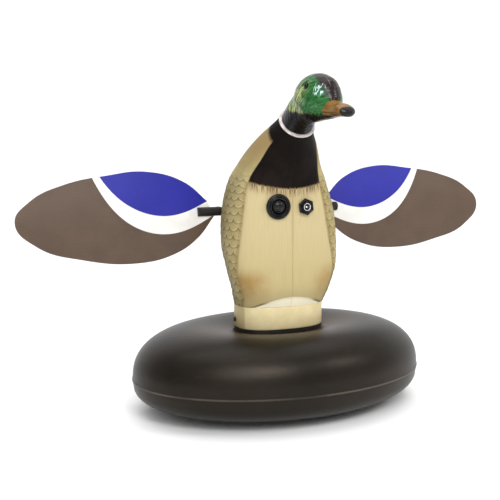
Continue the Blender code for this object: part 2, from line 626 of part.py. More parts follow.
NECK_SIDES = 20
THROAT_LEAN = radians(58)
angles = [2 * pi * i / NECK_SIDES for i in range(NECK_SIDES)]
throat_turn = Matrix.Rotation(THROAT_LEAN, 3, "X")
throat = [HEAD_CENTRE + throat_turn @ Vector((0.0140 * cos(a), 0.0155 * sin(a), -0.006)) for a in angles]
neck = loft("head_neck", [
    [neck_point(0.0018, 0.0156, a) for a in angles],
    [neck_point(0.0090, 0.0158, a) for a in angles],
    throat])
spigot = rod("head_spigot", 0.0129, 0.0200, segments=20, location=(0, 0, 0.0015), parent=neck_frame)

forward = Vector((sin(HEAD_YAW), -cos(HEAD_YAW), 0.0))
sideways = Vector((cos(HEAD_YAW), sin(HEAD_YAW), 0.0))
up = Vector((0.0, 0.0, 1.0))

# The bill's sections: distance ahead of the head's middle, height, half width, half depth.
BILL_SECTIONS = [
    (0.0120, 0.2975, 0.0090, 0.0106), (0.0210, 0.2960, 0.0090, 0.0088), (0.0300, 0.2946, 0.0091, 0.0067),
    (0.0380, 0.2940, 0.0096, 0.0055), (0.0430, 0.2928, 0.0086, 0.0045), (0.0470, 0.2915, 0.0046, 0.0024),
]
BILL_SIDES = 16
bill_angles = [2 * pi * i / BILL_SIDES for i in range(BILL_SIDES)]
bill = loft("head_bill", [
    [HEAD_CENTRE + forward * ahead + sideways * (half_width * cos(a))
     + up * (height - HEAD_CENTRE.z + half_depth * sin(a)) for a in bill_angles]
    for ahead, height, half_width, half_depth in BILL_SECTIONS])
join(head, neck, spigot, bill)
cut(head,
    ball("head_hollow", (0.0150, 0.0205, 0.0180), segments=16, rings=8, location=HEAD_CENTRE,
         rotation=(0, 0, HEAD_YAW)),
    rod("head_bore", 0.0112, 0.0440, segments=20, location=(0, 0, 0.0120), parent=neck_frame))
turned("head_clip", [
    (0.0132, -0.0063), (0.0144, -0.0063), (0.0144, -0.0079), (0.0132, -0.0079)],
    STEEL, steps=20, ring=True, parent=neck_frame)

EYE_RADIUS = 0.0026
for side, sign in (("right", -1), ("left", 1)):
    spot = HEAD_CENTRE + sideways * (sign * 0.0146) + forward * 0.004 + up * 0.0070
    ball(f"eye_{side}", (EYE_RADIUS,) * 3, BLACK_PLASTIC, segments=12, rings=6, location=spot)
    cut(head, ball(f"eye_socket_{side}", (EYE_RADIUS + 0.0004,) * 3, segments=12, rings=6, location=spot))

# ---------------------------------------------------------------- leads inside the body
LEAD_RADIUS = 0.0008
LEADS = {
    "motor_lead": (LEAD_RED, [
        (0.0162, 0.0300, 0.1975), (0.0190, 0.0296, 0.1966), (0.0225, 0.0275, 0.1925),
        (0.0255, 0.0225, 0.1865), (0.0272, 0.0165, 0.1815), (0.0278, 0.0105, 0.1780),
        (0.0272, 0.0050, 0.1750), (0.0250, 0.0014, 0.1724), (0.0216, 0.0002, 0.1710)]),
    "switch_lead": (LEAD_BLACK, [
        (-0.0138, -0.0191, 0.2036), (-0.0136, -0.0168, 0.2030), (-0.0118, -0.0120, 0.1990),
        (-0.0060, -0.0090, 0.1935), (0.0010, -0.0065, 0.1880), (0.0060, -0.0052, 0.1835),
        (0.0068, -0.0050, 0.1804)]),
    "socket_lead": (LEAD_RED, [
        (0.0129, -0.0196, 0.2024), (0.0129, -0.0172, 0.2018), (0.0128, -0.0120, 0.1975),
        (0.0128, -0.0085, 0.1920), (0.0128, -0.0064, 0.1860), (0.0128, -0.0052, 0.1804)]),
    "battery_lead": (LEAD_RED, [
        (0.0280, -0.0040, 0.1529), (0.0280, -0.0045, 0.1550), (0.0262, -0.0058, 0.1585),
        (0.0230, -0.0060, 0.1612), (0.0195, -0.0048, 0.1630), (0.0180, -0.0028, 0.1637),
        (0.0180, -0.0010, 0.1638)]),
}
for name, (look, route) in LEADS.items():
    curve = bpy.data.curves.new(name, "CURVE")
    curve.dimensions = "3D"
    curve.bevel_depth = LEAD_RADIUS
    curve.bevel_resolution = 2
    curve.use_fill_caps = True
    curve.render_resolution_u = 0
    spline = curve.splines.new("POLY")
    spline.points.add(len(route) - 1)
    for point, place_at in zip(spline.points, route):
        point.co = (*place_at, 1.0)
    place(name, curve, look)
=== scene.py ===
from math import atan2, copysign, cos, exp, pi, radians, sin

import bmesh
import bpy
import numpy as np
from mathutils import Matrix, Vector, noise


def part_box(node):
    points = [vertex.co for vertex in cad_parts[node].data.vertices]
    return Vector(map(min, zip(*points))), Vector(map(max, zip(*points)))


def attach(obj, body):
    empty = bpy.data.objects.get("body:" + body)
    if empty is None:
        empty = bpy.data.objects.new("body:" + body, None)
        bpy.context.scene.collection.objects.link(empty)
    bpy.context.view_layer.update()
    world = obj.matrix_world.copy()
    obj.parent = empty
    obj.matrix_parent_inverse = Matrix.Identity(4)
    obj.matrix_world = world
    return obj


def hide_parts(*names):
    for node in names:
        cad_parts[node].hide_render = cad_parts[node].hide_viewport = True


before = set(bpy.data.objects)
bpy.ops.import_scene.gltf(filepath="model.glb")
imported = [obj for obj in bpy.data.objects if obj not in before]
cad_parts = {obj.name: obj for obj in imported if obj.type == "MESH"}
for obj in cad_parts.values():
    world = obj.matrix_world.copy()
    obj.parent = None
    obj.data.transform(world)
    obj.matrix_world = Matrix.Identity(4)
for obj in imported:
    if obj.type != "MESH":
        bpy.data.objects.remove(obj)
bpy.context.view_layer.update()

# The studio: a wide pale floor with a pale wall leaning back behind it, a broad soft light high on the
# left of the camera and another overhead, and two small lamps that glint on the float and the head.
scene = bpy.context.scene
scene.view_settings.view_transform = "Standard"

room = bpy.data.worlds.new("white_room")
room.use_nodes = True
room.node_tree.nodes["Background"].inputs["Color"].default_value = (1.0, 1.0, 1.0, 1.0)
room.node_tree.nodes["Background"].inputs["Strength"].default_value = 0.42
scene.world = room

aim = Vector((0.0, 0.0119, 0.120))
azimuth, elevation, distance = radians(-23.7), radians(10.25), 0.979
back = Vector((sin(azimuth) * cos(elevation), -cos(azimuth) * cos(elevation), sin(elevation)))
camera = bpy.data.objects.new("camera", bpy.data.cameras.new("camera"))
camera.data.lens = 69.4
camera.data.shift_x = -0.0476
camera.data.shift_y = 0.0684
camera.location = aim + back * distance
camera.rotation_euler = back.to_track_quat("Z", "Y").to_euler()
scene.collection.objects.link(camera)
scene.camera = camera


def studio_light(name, kind, spot, power, **settings):
    """A lamp that looks at the middle of the decoy."""
    lamp = bpy.data.lights.new(name, kind)
    lamp.energy = power
    for setting, value in settings.items():
        setattr(lamp, setting, value)
    obj = bpy.data.objects.new(name, lamp)
    obj.location = spot
    obj.rotation_euler = (Vector(spot) - aim).to_track_quat("Z", "Y").to_euler()
    scene.collection.objects.link(obj)


studio_light("broad_light", "SUN", (-0.55, -1.5, 1.55), 1.55, angle=radians(40))
studio_light("top_light", "SUN", (0.1, 0.4, 2.0), 1.35, angle=radians(60))
studio_light("glint_light", "AREA", (0.80, -0.78, 0.85), 3.0, size=0.24)
studio_light("front_light", "AREA", (-0.12, -1.09, 0.89), 3.4, size=0.26)

bm = bmesh.new()
bmesh.ops.create_grid(bm, x_segments=1, y_segments=1, size=30.0)
wall = Matrix.Translation((1.68, 3.6, 0.0)) @ Matrix.Rotation(azimuth, 4, "Z")
wall = wall @ Matrix.Rotation(radians(60), 4, "X")
bmesh.ops.create_grid(bm, x_segments=1, y_segments=1, size=30.0, matrix=wall)
floor_mesh = bpy.data.meshes.new("floor")
bm.to_mesh(floor_mesh)
bm.free()
floor = bpy.data.objects.new("floor", floor_mesh)
scene.collection.objects.link(floor)
floor_paint = bpy.data.materials.new("pale_floor")
floor_paint.use_nodes = True
floor_paint.node_tree.nodes["Principled BSDF"].inputs["Base Color"].default_value = (0.93, 0.93, 0.93, 1)
floor_paint.node_tree.nodes["Principled BSDF"].inputs["Roughness"].default_value = 0.9
floor_mesh.materials.append(floor_paint)
floor.location.z = -0.0004


# The float: two blow-moulded black halves, an oval like an inner tube with a sunken seat on top. They
# meet at a waist seam where a little flash stands out, and round the seat the top is brown: dust from
# use together with a painted sheen.
class Value:
    """A number, colour or vector on its way through a finish; arithmetic adds its nodes."""

    def __init__(self, finish, socket):
        self.finish, self.socket = finish, socket

    def maths(self, operation, *terms):
        return self.finish.node("ShaderNodeMath", {"operation": operation}, dict(enumerate(terms)))

    def __add__(self, other):
        return self.maths("ADD", self, other)

    def __sub__(self, other):
        return self.maths("SUBTRACT", self, other)

    def __rsub__(self, other):
        return self.maths("SUBTRACT", other, self)

    def __mul__(self, other):
        return self.maths("MULTIPLY", self, other)

    def __truediv__(self, other):
        return self.maths("DIVIDE", self, other)

    __radd__, __rmul__ = __add__, __mul__

    def root(self):
        return self.maths("SQRT", self)

    def whole(self):
        return self.maths("FLOOR", self)

    def size(self):
        return self.maths("ABSOLUTE", self)

    def most(self, other):
        return self.maths("MAXIMUM", self, other)

    def over(self, edge):
        """1 where the value is above the edge, 0 elsewhere."""
        return self.maths("GREATER_THAN", self, edge)

    def rise(self, low, high):
        """A smooth ramp from 0 at low to 1 at high, or falling when low is the larger."""
        if low > high:
            return 1 - self.rise(high, low)
        settings = {"interpolation_type": "SMOOTHSTEP"}
        sockets = {"Value": self, "From Min": low, "From Max": high}
        return self.finish.node("ShaderNodeMapRange", settings, sockets)


class Finish:
    """A procedural material: constants sit on the shader, and what varies is linked to it."""

    def __init__(self, name, colour=(0.5, 0.5, 0.5), roughness=0.5, **constants):
        self.material = bpy.data.materials.new(name)
        self.material.use_nodes = True
        self.tree = self.material.node_tree
        self.shader = self.tree.nodes["Principled BSDF"]
        self.set("Base Color", colour)
        self.set("Roughness", roughness)
        for socket, value in constants.items():
            self.set(socket.replace("_", " "), value)

    def node(self, kind, settings, sockets, result=0):
        """Add a node: its settings go first, then the values or links of its sockets."""
        node = self.tree.nodes.new(kind)
        for setting, value in settings.items():
            setattr(node, setting, value)
        for socket, value in sockets.items():
            self.feed(node.inputs[socket], value)
        return Value(self, node.outputs[result])

    def feed(self, socket, value):
        if isinstance(value, Value):
            self.tree.links.new(value.socket, socket)
        elif isinstance(value, (tuple, list)) and socket.type == "RGBA":
            socket.default_value = (*value, 1.0)
        else:
            socket.default_value = value

    def set(self, socket, value):
        self.feed(self.shader.inputs[socket], value)

    def object_place(self):
        """The place on the piece, in metres."""
        return self.node("ShaderNodeTexCoord", {}, {}, "Object")

    def turned_place(self, origin, turn):
        """The place on the piece, measured in a frame at the origin that is turned by Euler angles."""
        sockets = {"Vector": self.object_place(), "Location": origin, "Rotation": turn}
        return self.node("ShaderNodeMapping", {"vector_type": "TEXTURE"}, sockets)

    def stretch(self, place, scale):
        return self.node("ShaderNodeMapping", {}, {"Vector": place, "Scale": scale})

    def parts_of(self, place):
        return [self.node("ShaderNodeSeparateXYZ", {}, {"Vector": place}, axis) for axis in "XYZ"]

    def gap(self, place, spot):
        """The distance of a place from a fixed spot."""
        return self.node("ShaderNodeVectorMath", {"operation": "DISTANCE"}, {0: place, 1: spot}, "Value")

    def speckle(self, place, scale, detail=3.0, roughness=0.5):
        sockets = {"Vector": place, "Scale": scale, "Detail": detail, "Roughness": roughness}
        return self.node("ShaderNodeTexNoise", {}, sockets)

    def streaks(self, place, scale, detail, roughness):
        """A speckle drawn out by a different scale along each axis."""
        return self.speckle(self.stretch(place, scale), 1.0, detail, roughness)

    def mix(self, mask, under, over):
        """Lay one colour over another where the mask is 1."""
        settings = {"data_type": "RGBA", "clamp_factor": True}
        return self.node("ShaderNodeMix", settings, {0: mask, 6: under, 7: over}, 2)

    def layers(self, colour, coats):
        """Lay coats, each a mask and a colour, one over the other."""
        for mask, tint in coats:
            colour = self.mix(mask, colour, tint)
        return colour

    def cover(self, colour, roughness, height, reach):
        """Give the finish its colour, its roughness and its bump."""
        self.set("Base Color", colour)
        self.set("Roughness", roughness)
        self.raise_by(height, reach)

    def raise_by(self, height, reach):
        """Bump the surface by a height from 0 to 1 that stands for the reach in metres."""
        self.set("Normal", self.node("ShaderNodeBump", {}, {"Height": height, "Distance": reach}))


def srgb(*levels):
    """A colour given in 0-255 screen levels, as the shader takes it."""
    return tuple((c / 255 / 12.92) if c < 10.3 else ((c / 255 + 0.055) / 1.055) ** 2.4 for c in levels)


def finish_piece(bm, name, finish, body="root", replaces=(), flat_above=35):
    """Turn a bmesh into a named piece that rides on a body and stands for its CAD nodes."""
    mesh = bpy.data.meshes.new(name)
    bm.to_mesh(mesh)
    bm.free()
    mesh.shade_smooth()
    mesh.set_sharp_from_angle(angle=radians(flat_above))
    mesh.materials.append(finish.material)
    piece = bpy.data.objects.new(name, mesh)
    scene.collection.objects.link(piece)
    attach(piece, body)
    if replaces:
        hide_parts(*replaces)
    return piece


def put_inside_out_right(bm):
    """Turn all faces over when the closed shape encloses a negative volume."""
    if bm.calc_volume(signed=True) < 0:
        bmesh.ops.reverse_faces(bm, faces=bm.faces)


def turned(profile, steps, matrix):
    """Spin a closed profile of (radius, height) points about Z, then put it in place."""
    bm = bmesh.new()
    verts = [bm.verts.new((radius, 0.0, height)) for radius, height in profile]
    edges = [bm.edges.new(pair) for pair in zip(verts, verts[1:] + verts[:1])]
    bmesh.ops.spin(bm, geom=verts + edges, cent=(0, 0, 0), axis=(0, 0, 1), angle=2 * pi, steps=steps,
                   use_merge=True)
    bmesh.ops.remove_doubles(bm, verts=bm.verts, dist=0.000002)
    bmesh.ops.recalc_face_normals(bm, faces=bm.faces)
    bmesh.ops.transform(bm, matrix=matrix, verts=bm.verts)
    put_inside_out_right(bm)
    return bm


float_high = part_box("float_lower")[1]
half_length = float_high.x
squeeze = float_high.y / half_length
seam_z = (float_high.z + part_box("float_upper")[0].z) / 2
float_wall = 0.003
seat_z, seat_radius = 0.0776, 0.047
crown_rise, crown_squareness = 0.0600, 2.6
dish_depth, dish_reach = 0.0235, 0.074
half_seam, flash = 0.00015, 0.0006


def crown(radius):
    """Height of the float's top at a distance from its middle."""
    rounded = (1 - (radius / half_length) ** crown_squareness) ** (1 / crown_squareness)
    return seam_z + crown_rise * rounded - dish_depth * exp(-(radius / dish_reach) ** 2)


def bilge(angle):
    """A point on the underside; the angle is 0 at the seam and a quarter turn at the flat foot."""
    return half_length * cos(angle) ** (2 / 3), seam_z * (1 - sin(angle) ** (2 / 3))


def inner_wall(outer):
    """The same profile one wall thickness inside, in the opposite order."""
    inner = []
    for i, (radius, height) in enumerate(outer):
        before, after = outer[max(i - 1, 0)], outer[min(i + 1, len(outer) - 1)]
        along = Vector((after[0] - before[0], after[1] - before[1])).normalized()
        inner.append((max(radius + along.y * float_wall, 0.0), height - along.x * float_wall))
    return inner[::-1]


black_skin = Finish("moulded_black_skin", roughness=0.38, Specular_IOR_Level=0.24,
                    Specular_Tint=(1.0, 0.88, 0.74))
place = black_skin.object_place()
east, north, height = black_skin.parts_of(place)
from_foot = (east * east + north * north / squeeze ** 2).root()
# dust and painted sheen: brown on the float's top round the seat, partly dust from use and partly a painted
# sheen
dust_and_sheen = from_foot.rise(0.118, 0.052) * height.rise(0.060, 0.076)
cloud = black_skin.speckle(place, 14.0, 4.0, 0.55)
fine = black_skin.speckle(place, 260.0, 3.0, 0.6)
scuff_place = black_skin.stretch(place, (22.0, 22.0, 160.0))
scuffs = black_skin.speckle(scuff_place, 2.2, 6.0, 0.7).rise(0.62, 0.74)
seam_line = (height - seam_z).size().rise(0.0011, 0.0004)
skin = black_skin.layers(srgb(15, 13, 10), [
    (cloud.rise(0.35, 0.70), srgb(25, 20, 15)),
    (dust_and_sheen * cloud.rise(0.25, 0.75) * 0.85 + dust_and_sheen * 0.15, srgb(66, 48, 36)),
    (scuffs * 0.22, srgb(84, 76, 70)),
    (seam_line * cloud.rise(0.30, 0.60) * 0.5, srgb(120, 108, 98))])
black_skin.cover(skin, 0.30 + cloud * 0.14 + scuffs * 0.15, fine * 0.6 + cloud * 0.4, 0.00025)

oval = Matrix.Diagonal((1.0, squeeze, 1.0, 1.0))
top_edge, bottom_edge = seam_z + half_seam, seam_z - half_seam
float_turns, crown_steps, bilge_steps = 160, 26, 18
seat_lip, crown_reach = 0.0006, 0.1485
crown_line = [(0.0, seat_z), (seat_radius * 0.5, seat_z), (seat_radius - seat_lip, seat_z)]
for i in range(crown_steps + 1):
    radius = seat_radius + seat_lip + (crown_reach - seat_radius) * sin(pi / 2 * i / crown_steps)
    crown_line.append((radius, crown(radius)))
near_edge = half_length * 0.9975
crown_line += [(near_edge, crown(near_edge)), (half_length, seam_z + 0.0020)]
flash_line = [(half_length + 0.0001, seam_z + 0.0011), (half_length + flash, seam_z + 0.0007),
              (half_length + flash, top_edge)]
top_skin = crown_line + [(half_length, top_edge)]
bm = turned(crown_line + flash_line + inner_wall(top_skin), float_turns, oval)
finish_piece(bm, "float_top_half", black_skin, replaces=("float_upper",))

flash_line = [(half_length + flash, bottom_edge), (half_length + flash, seam_z - 0.0007),
              (half_length + 0.0001, seam_z - 0.0011)]
bilge_start, bilge_stop = radians(4), 0.070
bilge_line = [bilge(bilge_start + (pi / 2 - bilge_start) * i / bilge_steps) for i in range(1, bilge_steps)]
bilge_line = [(radius, z) for radius, z in bilge_line if radius > bilge_stop]
foot_line = [(0.066, 0.0004), (0.062, 0.0)]
hollow_foot = [(0.030, 0.0), (0.029, 0.0008), (0.0, 0.0008)]
bottom_skin = [(half_length, bottom_edge)] + bilge_line + foot_line + [(0.0, 0.0)]
bm = turned(flash_line + bilge_line + foot_line + hollow_foot + inner_wall(bottom_skin), float_turns, oval)
finish_piece(bm, "float_bottom_half", black_skin, replaces=("float_lower",))

# The moulding pips: short tags of flash left standing on the float's seam where the mould was vented,
# one near the front, one at each end and one behind.
bm = bmesh.new()
for turn_degrees in (-89, 2, 93, 181):
    turn = radians(turn_degrees)
    spot = Vector((half_length * cos(turn), half_length * squeeze * sin(turn), seam_z))
    shape = Matrix.Translation(spot) @ Matrix.Rotation(turn, 4, "Z")
    shape = shape @ Matrix.Diagonal((0.0009, 0.0021, 0.0017, 1))
    bmesh.ops.create_uvsphere(bm, u_segments=20, v_segments=12, radius=1.0, matrix=shape)
finish_piece(bm, "seam_pips", black_skin)

# The duck's body: two thin moulded shells, left and right, that meet on a centre seam. The breast is
# smooth with fine combed lines, the flanks and back carry carved feathers, and the paint is brushed on.
GAP = 0.00012
SHELL_WALL = 0.0016
# Height, y of the middle, lean in degrees, half width, depth to the breast, depth to the back,
# squareness of the breast side and of the back.
BODY_SECTIONS = [
    (0.1046, 0.0020, 0, 0.0452, 0.0305, 0.0290, 2.5, 2.3),
    (0.1220, -0.0040, 0, 0.0490, 0.0295, 0.0360, 2.8, 2.3),
    (0.1420, -0.0065, 0, 0.0548, 0.0273, 0.0435, 2.8, 2.2),
    (0.1650, -0.0013, 0, 0.0573, 0.0322, 0.0480, 2.8, 2.2),
    (0.1950, 0.0032, 0, 0.0553, 0.0367, 0.0480, 2.8, 2.1),
    (0.2220, 0.0041, 6, 0.0488, 0.0368, 0.0420, 2.5, 2.1),
    (0.2430, -0.0042, 16, 0.0402, 0.0320, 0.0340, 2.2, 2.0),
    (0.2620, -0.0192, 32, 0.0300, 0.0260, 0.0230, 2.1, 2.0),
    (0.2750, -0.0345, 44, 0.0202, 0.0195, 0.0184, 2.0, 2.0),
    (0.2809, -0.0406, 48, 0.0170, 0.0170, 0.0170, 2.0, 2.0),
]
FOOT = BODY_SECTIONS[0]
# The crease between breast and flank on each side: height, distance from the middle.
CREASES = {
    -1: [(0.104, 0.0428), (0.112, 0.0438), (0.122, 0.0470), (0.130, 0.0502), (0.140, 0.0523),
         (0.153, 0.0522), (0.172, 0.0501), (0.196, 0.0469), (0.223, 0.0415), (0.232, 0.0380),
         (0.246, 0.0308), (0.260, 0.0246), (0.275, 0.0165), (0.290, 0.0110)],
    1: [(0.104, 0.0388), (0.114, 0.0420), (0.126, 0.0466), (0.140, 0.0486), (0.157, 0.0451),
        (0.168, 0.0423), (0.193, 0.0372), (0.217, 0.0335), (0.232, 0.0309), (0.246, 0.0289),
        (0.257, 0.0264), (0.272, 0.0215), (0.290, 0.0140)],
}
FEATHER_WIDTH, FEATHER_LENGTH, FEATHER_DROP = 0.0108, 0.0078, 0.0052
FEATHER_RELIEF = 0.0009
# The shelf round the foot of the breast: its height in the middle, and how fast it falls sideways.
ARCH_HEIGHT, ARCH_FALL = 0.1147, 7.3


def section_at(sections, step):
    """The cross-section at a fractional place in a list, on a smooth curve through all of them."""
    i = min(int(step), len(sections) - 2)
    t = step - i
    rows = (sections[max(i - 1, 0)], sections[i], sections[i + 1], sections[min(i + 2, len(sections) - 1)])
    return [0.5 * (2 * q + (r - p) * t + (2 * p - 5 * q + 4 * r - s) * t ** 2
                   + (3 * q - p - 3 * r + s) * t ** 3) for p, q, r, s in zip(*rows)]


def half_ring(section, count, side, inset=0.0, drop=0.0):
    """Evenly spaced points from the breast seam round one side to the back seam, and their girth."""
    height, middle, lean, half_width, breast, behind, square_front, square_back = section
    angle = np.linspace(-pi / 2, pi / 2, 721)
    c, s = np.cos(angle), np.sin(angle)
    square = np.where(s < 0, square_front, square_back)
    along = np.sign(s) * np.abs(s) ** (2 / square) * (np.where(s < 0, breast, behind) - inset)
    across = np.clip(c, 0, 1) ** (2 / square) * (half_width - inset)
    ring = np.stack([side * np.maximum(across, GAP / 2), middle + along * cos(radians(lean)),
                     height - drop + along * sin(radians(lean))], 1)
    girth = np.concatenate([[0], np.cumsum(np.linalg.norm(np.diff(ring, axis=0), axis=1))])
    even = np.linspace(0, girth[-1], count + 1)
    points = np.stack([np.interp(even, girth, ring[:, k]) for k in range(3)], 1)
    limit = np.interp(ring[:, 2], *zip(*CREASES[side]))
    outside = np.nonzero(np.abs(ring[:, 0]) >= limit)[0]
    crease = girth[outside[0]] if len(outside) else girth[-1] * 0.5
    return points, even, even - crease


def feather_rise(around, down):
    """Relief of overlapping feathers whose round tips point down the body, from 0 to 1."""
    row = np.floor(down / FEATHER_LENGTH)
    best = None
    for step in (1, 0):
        place = around / FEATHER_WIDTH + 0.5 * ((row + step) % 2)
        off = (place - np.floor(place) - 0.5) * 2
        tip = (row + step) * FEATHER_LENGTH - FEATHER_DROP * np.sqrt(np.clip(1 - off * off, 0, 1))
        share = (down - tip) / (FEATHER_LENGTH + FEATHER_DROP)
        rise = np.where(share >= 0, 1 - 0.9 * np.clip(share, 0, 1), -1)
        best = rise if best is None else np.where(best >= 0, best, rise)
    return np.clip(best, 0, 1)


def smooth(value, low, high):
    """A smooth ramp from 0 at low to 1 at high."""
    t = np.clip((value - low) / (high - low), 0, 1)
    return t * t * (3 - 2 * t)


def body_relief(points, around, down, past_crease):
    """How far each corner of the shell is moved out along its normal, in metres."""
    x, z = points[:, :, 0], points[:, :, 2]
    flank = smooth(past_crease, -0.0006, 0.0010)
    carved = flank * smooth(z, 0.243, 0.228) * smooth(z, 0.106, 0.116) * smooth(past_crease, 0.001, 0.004)
    relief = FEATHER_RELIEF * feather_rise(around, down) * carved
    relief += 0.0009 * flank * smooth(z, 0.272, 0.262) * np.exp(-np.clip(past_crease, 0, 1) / 0.012)
    relief -= 0.0005 * np.exp(-(past_crease / 0.0018) ** 2) * smooth(z, 0.270, 0.255)
    arch = ARCH_HEIGHT - ARCH_FALL * x * x
    front = smooth(past_crease, 0.004, -0.002)
    under = smooth(z, arch + 0.0004, arch - 0.0020)
    relief += front * (1 - under) * 0.0007 * np.exp(-np.clip(z - arch, 0, 1) / 0.010)
    groove = np.exp(-((z - arch + 0.0009) / 0.0011) ** 2) * smooth(np.abs(x), 0.022, 0.032)
    relief -= 0.0009 * front * groove
    return relief


def body_half(side, across=150, along=190):
    """One shell: a grid wrapped round half of every cross-section, then carved."""
    skirt_inset, skirt_drop = 0.0026, 0.0080
    steps = [(0.0, skirt_inset, skirt_drop), (0.0, skirt_inset, 0.0002)]
    steps += [((len(BODY_SECTIONS) - 1) * j / (along - 2), 0.0, 0.0) for j in range(along - 1)]
    rings = [half_ring(section_at(BODY_SECTIONS, step), across, side, inset, drop)
             for step, inset, drop in steps]
    points, around, past_crease = (np.array(rows) for rows in zip(*rings))
    flank_line = points[:, across * 2 // 3]
    climb = np.concatenate([[0], np.cumsum(np.linalg.norm(np.diff(flank_line, axis=0), axis=1))])
    down = np.repeat(climb[:, None], across + 1, axis=1)
    carve = body_relief(points, around, down, past_crease)

    bm = bmesh.new()
    bmesh.ops.create_grid(bm, x_segments=across, y_segments=along, size=0.5)
    bm.verts.ensure_lookup_table()
    columns = [round((v.co.x + 0.5) * across) for v in bm.verts]
    levels = [round((v.co.y + 0.5) * along) for v in bm.verts]
    for vert, i, j in zip(bm.verts, columns, levels):
        vert.co = points[j, i]
    if side < 0:
        bmesh.ops.reverse_faces(bm, faces=bm.faces)
    bm.normal_update()
    outwards = [vert.normal.copy() for vert in bm.verts]
    for vert, normal, i, j in zip(bm.verts, outwards, columns, levels):
        if j > 2:
            vert.co += normal * carve[j, i]
    crease_layer = bm.verts.layers.float.new("past_crease")
    for vert, value in zip(bm.verts, past_crease[levels, columns]):
        vert[crease_layer] = value
    pattern = bm.loops.layers.uv.new("feather_rows")
    for face in bm.faces:
        for loop in face.loops:
            i, j = columns[loop.vert.index], levels[loop.vert.index]
            loop[pattern].uv = (around[j, i], down[j, i])
    return bm


def cut(piece, tool_bm):
    """Cut a closed shape out of a piece, once its other modifiers are applied."""
    tool = bpy.data.objects.new("tool", bpy.data.meshes.new("tool"))
    tool_bm.to_mesh(tool.data)
    tool_bm.free()
    scene.collection.objects.link(tool)
    piece.modifiers.new("cut", "BOOLEAN").object = tool
    bpy.context.view_layer.update()
    solid = bpy.data.meshes.new_from_object(piece.evaluated_get(bpy.context.evaluated_depsgraph_get()))
    piece.modifiers.clear()
    piece.data = solid
    bpy.data.objects.remove(tool, do_unlink=True)


def drill(piece, centre, along, radius, depth=0.030):
    """Cut a round hole through a piece."""
    bit = bmesh.new()
    turn = Vector(along).to_track_quat("Z", "Y").to_matrix().to_4x4()
    bmesh.ops.create_cone(bit, cap_ends=True, segments=48, radius1=radius, radius2=radius, depth=depth,
                          matrix=Matrix.Translation(centre) @ turn)
    cut(piece, bit)


duck_paint = Finish("brushed_duck_paint", roughness=0.5, Specular_IOR_Level=0.06)
place = duck_paint.object_place()
x, y, z = duck_paint.parts_of(place)
pattern = duck_paint.node("ShaderNodeUVMap", {"uv_map": "feather_rows"}, {})
around, down, _ = duck_paint.parts_of(pattern)
crease = duck_paint.node("ShaderNodeAttribute", {"attribute_name": "past_crease"}, {}, "Fac")
streaks = duck_paint.streaks(pattern, (1250.0, 34.0, 1.0), 3.0, 0.6)
wide_streaks = duck_paint.streaks(pattern, (520.0, 26.0, 1.0), 3.0, 0.55)
cloud = duck_paint.speckle(place, 42.0, 4.0, 0.6)
grain = duck_paint.speckle(place, 900.0, 2.0, 0.5)

# the cream breast, deeper towards the belly and brown in the two lower corners, with a painted highlight on
# the shelf above the foot and painted shade in the groove at its ends
low_belly = z.rise(0.190, 0.120)
corner = x.size().rise(0.018, 0.038) * (z - 0.127).size().rise(0.022, 0.004)
centre = x.size().rise(0.0045, 0.0) * z.rise(0.128, 0.200)
arch = ARCH_HEIGHT - x * x * ARCH_FALL
# painted highlight: the shelf below the arch is painted pale, as its upward-facing surface would look in
# the light
shelf_highlight = (z - arch).rise(0.0006, -0.0008)
# painted shade: the groove along the foot of the arch is painted dark brown towards each side
groove = (z - arch + 0.0006).size().rise(0.0018, 0.0004) * x.size().rise(0.020, 0.030)
cream = duck_paint.layers(srgb(190, 175, 134), [
    (low_belly, srgb(183, 167, 122)),
    (streaks.rise(0.45, 0.70) * 0.28, srgb(172, 151, 102)),
    (corner * cloud.rise(0.15, 0.75) * 0.9, srgb(160, 126, 72)),
    (centre * 0.22, srgb(170, 138, 84)),
    (shelf_highlight, srgb(244, 236, 208)),
    (groove * 0.7, srgb(128, 104, 54))])

# brown flecks combed out of the black patch, then the patch itself with its ragged lower edge
breast_edge = 0.2205 + x * x * 4.2
below = breast_edge - z
mist = streaks.rise(0.30, 0.70) * below.rise(0.0150, 0.0) * 0.55
cream = duck_paint.mix(mist, cream, srgb(138, 98, 58))
flecks = (wide_streaks + streaks * 0.5).rise(0.66, 0.86) * below.rise(0.0105, 0.0010)
cream = duck_paint.mix(flecks * 0.8, cream, srgb(72, 46, 28))
ragged = below + (wide_streaks + streaks - 1.0) * 0.0050
black = duck_paint.mix(cloud.rise(0.4, 0.8), srgb(17, 13, 11), srgb(29, 22, 19))
breast = duck_paint.mix(ragged.rise(0.0011, -0.0009), cream, black)

# the flank: rows of feathers, each with painted shade under the tip above it and a painted shadow cast by
# that tip, below a plain tan shoulder
row = (down / FEATHER_LENGTH).whole()
covered = None
for step in (1, 0):
    odd = (row + step) * 0.5  # every second row is shifted by half a feather
    spot = around / FEATHER_WIDTH + (odd - odd.whole())
    off = (spot - spot.whole() - 0.5) * 2
    tip = (row + step) * FEATHER_LENGTH - (1 - off * off).most(0.0).root() * FEATHER_DROP
    share = (down - tip) / (FEATHER_LENGTH + FEATHER_DROP)
    if covered is None:
        upper, covered = share, share.over(0.0)
depth = covered * upper + (1 - covered) * share
tan = duck_paint.mix(cloud.rise(0.3, 0.7), srgb(152, 138, 94), srgb(174, 160, 116))
feather_rim = depth.rise(0.16, 0.02)
# painted shade: each feather darkens towards its root, under the feather above
feather_root_shade = depth.rise(0.35, 1.0)
